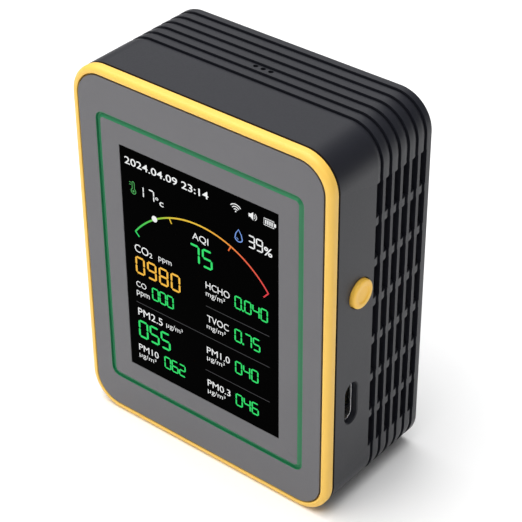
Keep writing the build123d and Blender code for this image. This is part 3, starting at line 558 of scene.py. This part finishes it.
# %% Ring
RING_FACE, RING_SIDE, RING_R, PLATE_T = 1.45, 2.1, 1.1, 1.2
SEAM_IN, SKIRT_OUT, SKIRT_T, SKIRT_END, FLOOR_IN = 0.8, 2.15, 1.0, 4.9, 4.0
ring_section = [(-FLOOR_IN, PLATE_T), (-RING_FACE, PLATE_T)]
ring_section += arc(-RING_FACE + 0.2, 0.2, 0.2, 180, 270, 4)
ring_section += arc(-RING_R, RING_R, RING_R, 270, 360, 12)
ring_section += arc(-0.3, RING_SIDE - 0.3, 0.3, 0, 90, 5)
ring_section += [(-SEAM_IN, RING_SIDE), (-SEAM_IN, SEAM_DEPTH), (-SKIRT_OUT, SEAM_DEPTH),
                 (-SKIRT_OUT, SKIRT_END), (-SKIRT_OUT - SKIRT_T, SKIRT_END),
                 (-SKIRT_OUT - SKIRT_T, SEAM_DEPTH), (-FLOOR_IN, SEAM_DEPTH)]
ring = swept_shell("front_ring", ring_section)

window_low, window_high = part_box("display_lens")
LEDGE = 0.4 * MM
ring = carve(ring, block("opening", (0, FRONT + 2 * MM, CASE_H / 2), (
    window_high.x - window_low.x - 2 * LEDGE, 6 * MM, window_high.z - window_low.z - 2 * LEDGE)))

# posts for the board and the case screws: radius and end in millimetres
POST_START, PILOT_R, PILOT_FLOOR = 2.0, 0.95 * MM, 1.2 * MM
for node, radius, end in (("board_screws", 2.0, 6.46), ("case_screws", 2.6, 15.0)):
    y, long = FRONT + (end + POST_START) / 2 * MM, (end - POST_START) * MM
    for x, z in corners(node):
        ring = carve(ring, rod("post", (x, y, z), radius * MM, long, "Y", 32), "UNION")
        ring = carve(ring, rod("pilot", (x, y + PILOT_FLOOR, z), PILOT_R, long, "Y", 24))
settle(ring, "ring_yellow", stands_for=["front_frame"], crease=35)


# %% [markdown]
# ## Plate, green line and window
# These are flat pieces whose measured shape is already right. The plate is welded, cleared of the
# lines that only divide flat faces, and its edges are eased, so that the groove and the window's
# edge catch the light as a painted plate does.

# %% Welded copies of measured pieces
def welded(node, name):
    """A copy of a measured piece as one connected mesh with clean flat faces."""
    shape = bmesh.new()
    shape.from_mesh(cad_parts[node].data)
    bmesh.ops.remove_doubles(shape, verts=shape.verts, dist=1e-6)
    bmesh.ops.dissolve_limit(shape, angle_limit=math.radians(0.3), verts=shape.verts,
                             edges=shape.edges)
    return piece(name, shape)


settle(welded("front_panel", "grey_plate"), "panel_grey", stands_for=["front_panel"], ease=0.06)
settle(welded("usb_shell", "socket_shell"), "shell_steel", stands_for=["usb_shell"], ease=0.11)

# %% [markdown]
# The green line is a shallow channel let into the plate. Its outer wall is steep and its floor
# rises towards the inner edge, so the line is dark along one side and light along the other.

# %% Green channel
line_low, line_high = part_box("trim_line")
LINE_W, LINE_R, LINE_T = 1.15, 1.35 + 1.15 / 2, 0.06
deep = (line_high.y - FRONT) / MM
channel_section = [(0, 0.05), (0, deep), (-LINE_W, deep), (-LINE_W, 0.05),
                   (LINE_T - LINE_W, 0.05), (-0.5, deep - LINE_T), (-LINE_T, deep - LINE_T),
                   (-LINE_T, 0.05)]
channel = swept_shell("green_channel", channel_section, line_high.x - line_low.x,
                      line_high.z - line_low.z, LINE_R * MM, loop=True)
channel.data.transform(Matrix.Translation((0, 0, line_low.z)))
settle(channel, "trim_green", stands_for=["trim_line"])


# %% [markdown]
# ## Turned pieces
# The button and the screws are round, so each is a half outline turned about its own axis. The
# button has a rounded rim and a very shallow dish that the fingertip finds.

# %% Turn an outline
def turned(name, outline, steps=64):
    """Turns (radius, height) points about Z. Points on the axis become poles."""
    shape = bmesh.new()
    rings = []
    for radius, height in outline:
        count = steps if radius > 1e-9 else 1
        rings.append([shape.verts.new((radius * math.cos(2 * math.pi * k / steps),
                                       radius * math.sin(2 * math.pi * k / steps), height))
                      for k in range(count)])
    for low, high in zip(rings, rings[1:]):
        for k in range(steps):
            around = [low[k % len(low)], low[(k + 1) % len(low)],
                      high[(k + 1) % len(high)], high[k % len(high)]]
            shape.faces.new(list(dict.fromkeys(around)))
    bmesh.ops.recalc_face_normals(shape, faces=shape.faces)
    return piece(name, shape)


# %% Button
RIM_R, DISH_IN, DISH_OUT, DISH = 0.38 * MM, 1.55 * MM, 1.95 * MM, 0.22 * MM
FLANGE_R, FLANGE_T, STEM_R, FLANGE_X = 3.6 * MM, 0.8 * MM, 1.0 * MM, 28.45 * MM
top = button_high.x
dish = [(0, top - DISH), (DISH_IN * 0.5, top - DISH), (DISH_IN, top - DISH)]
dish += [(DISH_IN + (DISH_OUT - DISH_IN) * k / 4,
          top - DISH * (0.5 + 0.5 * math.cos(math.pi * k / 4))) for k in (1, 2, 3, 4)]
rim = [(BUTTON_R - RIM_R + RIM_R * math.sin(math.radians(a)),
        top - RIM_R + RIM_R * math.cos(math.radians(a))) for a in range(0, 91, 15)]
flange = [(BUTTON_R, FLANGE_X), (FLANGE_R, FLANGE_X), (FLANGE_R, FLANGE_X - FLANGE_T),
          (STEM_R, FLANGE_X - FLANGE_T), (STEM_R, button_low.x), (0, button_low.x)]
cap = turned("button_cap", dish + rim + flange)
cap.data.transform(Matrix.Translation((0, button_mid.y, button_mid.z))
                   @ Matrix.Rotation(math.pi / 2, 4, "Y"))
settle(cap, "button_yellow", body="button", stands_for=["power_button"], crease=40)

# %% [markdown]
# ## Screws
# Eight pan-head screws hold the case and the board: one screw is turned and cut once, and a tree
# sets a copy at each corner of a rectangle. The thread is a row of ridges at the real 0.4 mm pitch.

# %% One screw
HEAD_T, SHANK_R, THREAD_R, PITCH = 1.3 * MM, 0.78 * MM, 0.95 * MM, 0.4 * MM
RECESS_T = 1.4 * MM


def screw(name, length):
    """A pan-head screw along Z: the head's seat at 0, the head above, the point at -length."""
    head = [(0, HEAD_T), (1.0 * MM, HEAD_T), (1.5 * MM, HEAD_T * 0.86), (1.75 * MM, HEAD_T * 0.5),
            (HEAD_R, 0.15 * MM), (HEAD_R, 0)]
    thread = [(THREAD_R, 0)]
    turns = int((length - 1.2 * MM) / PITCH)
    for k in range(turns):
        thread += [(THREAD_R, -(k + 0.35) * PITCH), (SHANK_R, -(k + 0.6) * PITCH),
                   (THREAD_R, -(k + 0.95) * PITCH)]
    tip = [(SHANK_R * 0.6, -length + 0.25 * MM), (0, -length)]
    made = turned(name, head + thread + tip, 32)
    for wide, deep in ((2.0, 0.5), (0.5, 2.0)):
        made = carve(made, block("recess", (0, 0, HEAD_T), (wide * MM, deep * MM, RECESS_T)))
    return made


# %% Tree: one screw at each corner of a rectangle
screw_tree, given = new_tree("copies at the corners of a rectangle", {
    "Span X": "Float", "Span Z": "Float", "Middle": "Vector", "Material": "Material"})
rectangle = add(screw_tree, "GeometryNodeMeshGrid", None,
                {"Size X": given["Span X"], "Size Y": given["Span Z"], "Vertices X": 2,
                 "Vertices Y": 2})
turned_grid = add(screw_tree, "GeometryNodeTransform", None,
                  {"Geometry": rectangle, "Translation": given["Middle"],
                   "Rotation": (-math.pi / 2, 0, 0)})
set_in = add(screw_tree, "GeometryNodeInstanceOnPoints", None,
             {"Points": turned_grid, "Instance": given["Geometry"],
              "Rotation": (-math.pi / 2, 0, 0)})
end_tree(screw_tree, set_in, given["Material"])

for node, length in (("case_screws", 8.0 * MM), ("board_screws", 5.0 * MM)):
    low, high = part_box(node)
    template = screw("screw", length)
    copies = grown("set_of_" + node, template.data.copy(), screw_tree, {
        "Span X": high.x - low.x - 2 * HEAD_R, "Span Z": high.z - low.z - 2 * HEAD_R,
        "Middle": (0, low.y + length, (low.z + high.z) / 2), "Material": FINISHES["screw_steel"]})
    bpy.data.objects.remove(template)
    settle(copies, "screw_steel", stands_for=[node], crease=40)

# %% [markdown]
# ## Fan wheel
# The particle sensor draws air with a small wheel. Its blades are one curved plate repeated about
# the hub, each turned by an equal share of the circle.

# %% Tree: a blade repeated about an axis
wheel_tree, given = new_tree("blades about a hub", {"Count": "Int", "Material": "Material"})
spots = add(wheel_tree, "GeometryNodeMeshLine", None,
            {"Count": given["Count"], "Offset": (0, 0, 0)})
number = add(wheel_tree, "GeometryNodeInputIndex")
share = add(wheel_tree, "ShaderNodeMath", {"operation": "DIVIDE"},
            {0: number, 1: given["Count"]})
angle = add(wheel_tree, "ShaderNodeMath", {"operation": "MULTIPLY"}, {0: share, 1: 2 * math.pi})
about = add(wheel_tree, "ShaderNodeCombineXYZ", None, {"Y": angle})
blades = add(wheel_tree, "GeometryNodeInstanceOnPoints", None,
             {"Points": spots, "Instance": given["Geometry"], "Rotation": about})
end_tree(wheel_tree, blades, given["Material"])

# %% Fan wheel
wheel_low, wheel_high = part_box("fan_rotor")
wheel_mid = (wheel_low + wheel_high) / 2
motor_low, motor_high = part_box("fan_motor")
wheel_mid.x, wheel_mid.z = (motor_low.x + motor_high.x) / 2, (motor_low.z + motor_high.z) / 2
wheel_h = wheel_high.y - wheel_low.y
BLADES, BLADE_T, HUB_R, BLADE_R = 9, 0.5 * MM, 4.0 * MM, 8.75 * MM
plate = bmesh.new()
curve = [(HUB_R - 0.3 * MM + (BLADE_R - HUB_R) * k / 6, 1.5 * MM * (k / 6) ** 1.5)
         for k in range(7)]
rows = [[[plate.verts.new((x, y, z + side)) for x, z in curve]
         for side in (-BLADE_T / 2, BLADE_T / 2)] for y in (-wheel_h / 2, wheel_h / 2 - 0.02 * MM)]
(a, b), (c, d) = rows
for k in range(6):
    for p, q in ((a, b), (c, d), (a, c), (b, d)):
        plate.faces.new((p[k], p[k + 1], q[k + 1], q[k]))
for k in (0, 6):
    plate.faces.new((a[k], b[k], d[k], c[k]))
bmesh.ops.recalc_face_normals(plate, faces=plate.faces)
wheel = grown("fan_wheel", plate, wheel_tree,
              {"Count": BLADES, "Material": FINISHES["pm_plastic"]})
hub = turned("hub", [(0, wheel_h / 2), (HUB_R - 0.5 * MM, wheel_h / 2),
                     (HUB_R, wheel_h / 2 - 0.5 * MM), (HUB_R, -wheel_h / 2),
                     (0.8 * MM, -wheel_h / 2), (0.8 * MM, wheel_h / 2 - 0.7 * MM),
                     (0, wheel_h / 2 - 0.7 * MM)], 48)
hub.data.transform(Matrix.Rotation(math.pi / 2, 4, "X"))
both = bmesh.new()
both.from_mesh(wheel.data)
both.from_mesh(hub.data)
for used in (wheel, hub):
    bpy.data.objects.remove(used)
bmesh.ops.translate(both, verts=both.verts, vec=wheel_mid)
settle(piece("fan_wheel", both), "pm_plastic", body="rotor", stands_for=["fan_rotor"])

# %% [markdown]
# ## Contacts of the charging socket
# Twelve gilt contacts lie on each face of the tongue at the standard 0.5 mm pitch. Each is a strip
# a little thicker than the tongue, so it goes through and shows on both faces.

# %% Tree: a row of contacts
row_tree, given = new_tree("row of contacts", {
    "Count": "Int", "Pitch": "Float", "Contact": "Vector", "First": "Vector",
    "Material": "Material"})
step = add(row_tree, "ShaderNodeCombineXYZ", None, {"Z": given["Pitch"]})
line = add(row_tree, "GeometryNodeMeshLine", None,
           {"Count": given["Count"], "Start Location": given["First"], "Offset": step})
strip = add(row_tree, "GeometryNodeMeshCube", None, {"Size": given["Contact"]})
laid = add(row_tree, "GeometryNodeInstanceOnPoints", None, {"Points": line, "Instance": strip})
end_tree(row_tree, laid, given["Material"])

tongue_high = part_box("usb_tongue")[1]
CONTACTS, CONTACT_PITCH = 12, 0.5 * MM
blank = bpy.data.meshes.new("blank")
contacts = grown("socket_contacts", blank, row_tree, {
    "Count": CONTACTS, "Pitch": CONTACT_PITCH, "Contact": (3.4 * MM, 0.76 * MM, 0.26 * MM),
    "First": (tongue_high.x - 2.3 * MM, usb_mid.y, usb_mid.z - 5.5 * CONTACT_PITCH),
    "Material": FINISHES["pins_brass"]})
settle(contacts, "pins_brass")

# %% [markdown]
# ## The display
# The window is one glossy sheet, black from behind, and the figures under it are lit. They are laid
# here as very thin lit shapes just proud of the sheet, still behind the plate's face. The layout is
# in millimetres from the window's top left corner: x to the right and y down.

# %% Lit finishes
SCREEN_Y = (FRONT + window_low.y) / 2
SCREEN_T = 0.016 * MM


def lit(name, code, strength):
    """A lit display colour, slightly uneven from place to place as a backlight is."""
    material, tree, shader = shaded(name, {
        "Base Color": (0, 0, 0, 1), "IOR": FILM_IOR, "Emission Strength": strength})
    place = add(tree, "ShaderNodeTexCoord").outputs["Object"]
    patches = add(tree, "ShaderNodeTexNoise", None, {"Vector": place, "Scale": 1 / (1.2 * MM)})
    glow = add(tree, "ShaderNodeValToRGB", None, {"Fac": patches.outputs["Fac"]})
    glow.color_ramp.elements[0].color = linear(code, 0.85)
    glow.color_ramp.elements[1].color = linear(code, 1.1)
    tree.links.new(glow.outputs["Color"], shader.inputs["Emission Color"])
    return material


LIT = {"white": lit("lit white", "F4F6F6", 1.0), "green": lit("lit green", "35DC6C", 1.08),
       "amber": lit("lit amber", "F8BC48", 1.05), "blue": lit("lit blue", "7FA6F0", 1.0),
       "dim": lit("lit dim grey", "4A4A4C", 1.0), "gold": lit("lit gold", "E8C23C", 1.0),
       "orange": lit("lit orange", "F0713A", 1.0), "leaf": lit("lit leaf green", "4FA85A", 1.0)}


def on_screen(x, y, lift=0.0):
    """A place on the display, from millimetres right and down of the window's corner."""
    return Vector((window_low.x + x * MM, SCREEN_Y - lift * MM, window_high.z - y * MM))


# %% [markdown]
# ### Figures of seven bars
# Every number is drawn with the same seven bars. A tree holds one bar and lays it on the points of
# the digits: a point's "bars" attribute says which of its seven bars are lit, one bit for each,
# and "size" is the digit's height.

# %% Tree: seven-bar digits
DIGIT_W, STROKE, BAR_GAP = 0.60, 0.108, 0.028
reach_x, reach_z = (DIGIT_W - STROKE) / 2, (1 - STROKE) / 4
BARS = [(0, 2 * reach_z, 0), (reach_x, reach_z, 1), (reach_x, -reach_z, 1), (0, -2 * reach_z, 0),
        (-reach_x, -reach_z, 1), (-reach_x, reach_z, 1), (0, 0, 0)]
LIT_BARS = {"0": 63, "1": 6, "2": 91, "3": 79, "4": 102, "5": 109, "6": 125, "7": 7, "8": 127,
            "9": 111}

half = reach_x - BAR_GAP / 2
outline = [(-half, 0), (-half + STROKE / 2, STROKE / 2), (half - STROKE / 2, STROKE / 2),
           (half, 0), (half - STROKE / 2, -STROKE / 2), (-half + STROKE / 2, -STROKE / 2)]
BAR_T = SCREEN_T / (4.2 * MM)
bar = prism("bar", [[(x, y, z) for x, z in outline] for y in (-BAR_T / 2, BAR_T / 2)])

digit_tree, given = new_tree("seven-bar digits", {"Bar": "Object", "Material": "Material"})
bar_shape = add(digit_tree, "GeometryNodeObjectInfo", None, {"Object": given["Bar"]})
size = add(digit_tree, "GeometryNodeInputNamedAttribute", {"data_type": "FLOAT"}, {"Name": "size"})
bars = add(digit_tree, "GeometryNodeInputNamedAttribute", {"data_type": "FLOAT"}, {"Name": "bars"})
joined = add(digit_tree, "GeometryNodeJoinGeometry")
for bit, (x, z, upright_bar) in enumerate(BARS):
    share = add(digit_tree, "ShaderNodeMath", {"operation": "DIVIDE"}, {0: bars, 1: 2.0 ** bit})
    whole = add(digit_tree, "ShaderNodeMath", {"operation": "FLOOR"}, {0: share})
    odd = add(digit_tree, "ShaderNodeMath", {"operation": "MODULO"}, {0: whole, 1: 2.0})
    offset = add(digit_tree, "ShaderNodeVectorMath", {"operation": "SCALE"},
                 {0: (x, 0, z), "Scale": size})
    moved = add(digit_tree, "GeometryNodeSetPosition", None,
                {"Geometry": given["Geometry"], "Offset": offset})
    stretch = (2 * reach_z - BAR_GAP / 2) / (2 * half) if upright_bar else 1.0
    grow = add(digit_tree, "ShaderNodeVectorMath", {"operation": "SCALE"},
               {0: (stretch, 1, 1), "Scale": size})
    laid = add(digit_tree, "GeometryNodeInstanceOnPoints", None,
               {"Points": moved, "Selection": odd, "Instance": bar_shape.outputs["Geometry"],
                "Rotation": (0, upright_bar * math.pi / 2, 0), "Scale": grow})
    digit_tree.links.new(laid.outputs["Instances"], joined.inputs["Geometry"])
end_tree(digit_tree, joined, given["Material"])

# %% Numbers on the display: text, left, top, right, bottom, colour
NUMBERS = [
    ("17", 4.15, 7.0, 8.25, 9.5, "white"), ("39", 30.75, 7.0, 34.25, 9.75, "white"),
    ("75", 16.55, 14.7, 22.2, 18.95, "green"), ("0980", 2.5, 23.75, 13.95, 27.8, "amber"),
    ("000", 6.45, 29.5, 12.05, 32.5, "green"), ("055", 2.4, 39.05, 10.75, 43.3, "green"),
    ("062", 8.9, 45.0, 14.5, 48.0, "green"), ("0.040", 27.35, 21.9, 35.3, 24.85, "green"),
    ("0.75", 27.2, 29.55, 33.45, 32.6, "green"), ("040", 27.2, 37.2, 32.95, 40.2, "green"),
    ("046", 27.2, 45.1, 32.95, 48.1, "green"),
]
POINT_GAP = 0.13
plates = {}


def polygon(colour, points):
    """Adds a flat outline, in display millimetres, to a colour's thin plates."""
    plates.setdefault(colour, []).append([on_screen(x, y) for x, y in points])


for colour in ("white", "green", "amber"):
    places, sizes, masks = [], [], []
    for text, left, top_y, right, bottom, shade in NUMBERS:
        if shade != colour:
            continue
        tall = bottom - top_y
        digits = [c for c in text if c != "."]
        gap = POINT_GAP * tall * text.count(".")
        step = (right - left - DIGIT_W * tall - gap) / max(1, len(digits) - 1)
        x = left + DIGIT_W * tall / 2
        for c in text:
            if c == ".":
                x += gap
                corner = x - step / 2 - gap / 2 - 0.02
                dot = 0.065 * tall
                polygon(colour, [(corner - dot, bottom - 2 * dot), (corner + dot, bottom - 2 * dot),
                                 (corner + dot, bottom), (corner - dot, bottom)])
                continue
            places.append(on_screen(x, (top_y + bottom) / 2))
            sizes.append(tall * MM)
            masks.append(float(LIT_BARS[c]))
            x += step
    points = bpy.data.meshes.new("digits")
    points.from_pydata(places, [], [])
    for label, values in (("size", sizes), ("bars", masks)):
        points.attributes.new(label, "FLOAT", "POINT").data.foreach_set("value", values)
    figures = grown("figures_" + colour, points, digit_tree,
                    {"Bar": bar, "Material": LIT[colour]})
    settle(figures, None, finish=LIT[colour])
bpy.data.objects.remove(bar)

# %% [markdown]
# ### Lettering
# The names of gases and particle sizes, the units and the date are generic words, set in the
# built-in typeface. A word becomes a mesh first, and is then fitted into its box on the display.

# %% Words: text, left, top, right, bottom, boldness
WORDS = [
    ("2024.04.09 23:14", 1.12, 1.9, 21.6, 3.5, 0.008), ("°c", 8.5, 8.1, 10.5, 9.65, 0.006),
    ("%", 34.45, 8.0, 36.35, 9.85, 0.016), ("AQI", 17.4, 12.1, 21.3, 13.85, 0.0),
    ("CO", 2.5, 20.95, 6.05, 22.75, 0.0), ("2", 6.25, 21.6, 7.0, 22.7, 0.010),
    ("ppm", 8.6, 21.4, 11.9, 22.65, -0.005), ("CO", 2.4, 29.7, 5.0, 31.0, 0.0),
    ("ppm", 2.4, 31.95, 5.75, 33.3, -0.005), ("PM2.5", 2.5, 36.15, 8.9, 37.9, 0.0),
    ("μg/m³", 9.85, 36.3, 14.1, 37.85, -0.005), ("PM10", 2.2, 45.15, 7.4, 46.7, 0.0),
    ("μg/m³", 2.2, 47.2, 6.7, 48.7, -0.005), ("HCHO", 20.35, 21.95, 26.2, 23.5, 0.0),
    ("mg/m³", 20.35, 24.0, 25.0, 25.6, -0.005), ("TVOC", 20.5, 29.65, 25.8, 31.2, 0.0),
    ("mg/m³", 20.35, 31.7, 25.0, 33.2, -0.005), ("PM1.0", 20.2, 37.3, 25.9, 38.85, 0.0),
    ("μg/m³", 20.2, 39.3, 24.6, 40.8, -0.005), ("PM0.3", 20.15, 45.3, 25.9, 46.85, 0.0),
    ("μg/m³", 20.15, 47.4, 24.6, 48.9, -0.005),
]


def word(text, left, top_y, right, bottom, bold):
    """The vertices and faces of a word fitted into its box."""
    curve = bpy.data.curves.new("word", "FONT")
    curve.body, curve.offset, curve.resolution_u = text, bold, 4
    holder = piece("word", curve)
    graph = bpy.context.evaluated_depsgraph_get()
    mesh = bpy.data.meshes.new_from_object(holder.evaluated_get(graph))
    bpy.data.objects.remove(holder)
    xs, ys = [v.co.x for v in mesh.vertices], [v.co.y for v in mesh.vertices]
    wide, tall = max(xs) - min(xs), max(ys) - min(ys)
    fit = [on_screen(left + (v.co.x - min(xs)) / wide * (right - left),
                     bottom - (v.co.y - min(ys)) / tall * (bottom - top_y))
           for v in mesh.vertices]
    return fit, [tuple(f.vertices) for f in mesh.polygons]


words = bmesh.new()
for entry in WORDS:
    fit, faces = word(*entry)
    points = [words.verts.new(p) for p in fit]
    for face in faces:
        words.faces.new([points[k] for k in face])
print("lettering:", len(WORDS), "words,", len(words.faces), "faces")

# %% [markdown]
# ### Icons, lines and the gauge
# The icons are short strokes of even width. A stroke is a chain of points given a width, and a
# shape is a closed outline.


# %% Strokes
def stroke(colour, points, width, closed=False):
    """Adds a chain of points as a flat ribbon with mitred corners."""
    count = len(points)
    pairs = []
    for k, (x, y) in enumerate(points):
        before = points[k - 1] if k or closed else points[k]
        after = points[(k + 1) % count] if k < count - 1 or closed else points[k]
        dx, dy = after[0] - before[0], after[1] - before[1]
        long = math.hypot(dx, dy) or 1.0
        pairs.append(((x - dy / long * width / 2, y + dx / long * width / 2),
                      (x + dy / long * width / 2, y - dx / long * width / 2)))
    for k in range(count if closed else count - 1):
        a, b = pairs[k], pairs[(k + 1) % count]
        polygon(colour, [a[0], a[1], b[1], b[0]])


def ring_points(cx, cy, radius, start, end, steps=16):
    """Points of a display arc. Angles in degrees, 0 to the right and 90 up."""
    return arc(cx, cy, radius, -start, -end, steps)


# %% Status icons, thermometer, droplet, dividing lines
for radius in (0.52, 1.02, 1.52):
    stroke("white", ring_points(28.0, 3.3, radius, 40, 140, 10), 0.19)
polygon("white", ring_points(28.0, 3.3, 0.15, 0, 337.5, 15))
polygon("white", [(31.0, 2.35), (31.45, 2.35), (32.05, 1.85), (32.05, 3.55), (31.45, 3.05),
                  (31.0, 3.05)])
stroke("white", ring_points(32.05, 2.7, 0.42, -60, 60, 8), 0.13)
stroke("white", ring_points(32.05, 2.7, 0.78, -60, 60, 8), 0.13)
stroke("white", [(34.5, 1.95), (36.75, 1.95), (36.75, 3.35), (34.5, 3.35)], 0.14, closed=True)
polygon("white", [(36.85, 2.3), (37.2, 2.3), (37.2, 3.0), (36.85, 3.0)])
for k in range(4):
    x = 34.78 + k * 0.47
    polygon("white", [(x, 2.2), (x + 0.27, 2.2), (x + 0.27, 3.1), (x, 3.1)])

stroke("leaf", ring_points(3.0, 9.05, 0.58, 120, 420, 20), 0.17)
stroke("leaf", [(2.73, 8.6), (2.73, 7.2)] + ring_points(3.0, 7.2, 0.27, 180, 0, 8) + [(3.27, 8.6)],
       0.15)
polygon("leaf", ring_points(3.0, 9.05, 0.24, 0, 337.5, 15))
for y in (7.25, 7.75):
    stroke("leaf", [(2.0, y), (2.45, y)], 0.14)

drop = ring_points(28.6, 8.65, 0.92, 200, 340, 16)
stroke("blue", drop + [(29.25, 7.95), (28.6, 6.95), (27.95, 7.95)], 0.2, closed=True)
stroke("blue", ring_points(28.6, 8.6, 0.5, 200, 260, 6), 0.14)

for x0, x1, y in ((2.2, 35.6, 34.85), (20.3, 35.6, 27.65), (19.7, 35.6, 43.15)):
    polygon("dim", [(x0, y - 0.055), (x1, y - 0.055), (x1, y + 0.055), (x0, y + 0.055)])

# %% Tree: a gauge arc that knows how far along it is
gauge_tree, given = new_tree("gauge arc", {
    "Radius": "Float", "Start": "Float", "Sweep": "Float", "Stroke": "Float", "Thickness": "Float",
    "Middle": "Vector", "Material": "Material"})
line = add(gauge_tree, "GeometryNodeCurveArc", None,
           {"Resolution": 96, "Radius": given["Radius"], "Start Angle": given["Start"],
            "Sweep Angle": given["Sweep"]})
along = add(gauge_tree, "GeometryNodeSplineParameter")
marked = add(gauge_tree, "GeometryNodeStoreNamedAttribute", {"data_type": "FLOAT"},
             {"Geometry": line.outputs["Curve"], "Name": "along", "Value": along.outputs["Factor"]})
level = add(gauge_tree, "GeometryNodeSetCurveNormal", {"mode": "Z_UP"}, {"Curve": marked})
band = add(gauge_tree, "GeometryNodeCurvePrimitiveQuadrilateral", None,
           {"Width": given["Stroke"], "Height": given["Thickness"]})
solid = add(gauge_tree, "GeometryNodeCurveToMesh", None,
            {"Curve": level, "Profile Curve": band, "Fill Caps": True})
hung = add(gauge_tree, "GeometryNodeTransform", None,
           {"Geometry": solid, "Translation": given["Middle"], "Rotation": (math.pi / 2, 0, 0)})
end_tree(gauge_tree, hung, given["Material"])

# %% Gauge
GAUGE_MID, GAUGE_R, GAUGE_STROKE = (19.2, 30.4), 20.4, 0.34
GAUGE_START, GAUGE_END = 37.2, 142.8
rainbow, tree, shader = shaded("lit gauge, green to red", {
    "Base Color": (0, 0, 0, 1), "IOR": FILM_IOR, "Emission Strength": 1.0})
share = add(tree, "ShaderNodeAttribute", {"attribute_name": "along"})
stops = [(0.0, "E0434A"), (0.22, "EE6A48"), (0.34, "F0A040"), (0.5, "EFC242"), (0.66, "E6C040"),
         (0.76, "9CC840"), (0.86, "58C850"), (1.0, "3CC85C")]
scale = add(tree, "ShaderNodeValToRGB", None, {"Fac": share.outputs["Fac"]})
for k, (at, code) in enumerate(stops):
    stop = scale.color_ramp.elements[k] if k < 2 else scale.color_ramp.elements.new(at)
    stop.position, stop.color = at, linear(code)
tree.links.new(scale.outputs["Color"], shader.inputs["Emission Color"])
blank = bpy.data.meshes.new("blank")
gauge = grown("gauge_arc", blank, gauge_tree, {
    "Radius": GAUGE_R * MM, "Start": math.radians(GAUGE_START),
    "Sweep": math.radians(GAUGE_END - GAUGE_START), "Stroke": GAUGE_STROKE * MM,
    "Thickness": SCREEN_T, "Middle": on_screen(*GAUGE_MID), "Material": rainbow})
settle(gauge, None, finish=rainbow)

# %% Ticks, dot, and the thin plates of each colour
stroke("green", [(2.95, 18.05), (3.9, 18.95)], 0.28)
stroke("gold", [(11.85, 11.5), (12.35, 12.5)], 0.28)
stroke("orange", [(26.75, 11.4), (26.1, 12.6)], 0.28)
stroke("red", [(35.4, 18.05), (34.3, 19.3)], 0.28)
LIT["red"] = lit("lit red", "E0434A", 1.0)
polygon("dot", ring_points(8.05, 13.2, 0.68, 0, 345, 23))
LIT["dot"] = LIT["white"]
for colour, outlines in plates.items():
    shape = words if colour == "white" else bmesh.new()
    for outline in outlines:
        shape.faces.new([shape.verts.new(p) for p in outline])
    slabs = bmesh.ops.extrude_face_region(shape, geom=list(shape.faces))
    moved = [v for v in slabs["geom"] if isinstance(v, bmesh.types.BMVert)]
    lift = -SCREEN_T * (1.4 if colour == "dot" else 1.0)
    bmesh.ops.translate(shape, verts=moved, vec=(0, lift, 0))
    bmesh.ops.translate(shape, verts=shape.verts, vec=(0, -lift / 2, 0))
    bmesh.ops.recalc_face_normals(shape, faces=shape.faces)
    settle(piece("screen_" + colour, shape), None, finish=LIT[colour])

# %% [markdown]
# The dressed object's size is printed here, and the measured frame's size is printed at the start.
# The dressed object has to stay inside the measured one.

# %% Sizes
low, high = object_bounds()
print("visual, mm:", [round(v / MM, 2) for v in high - low])
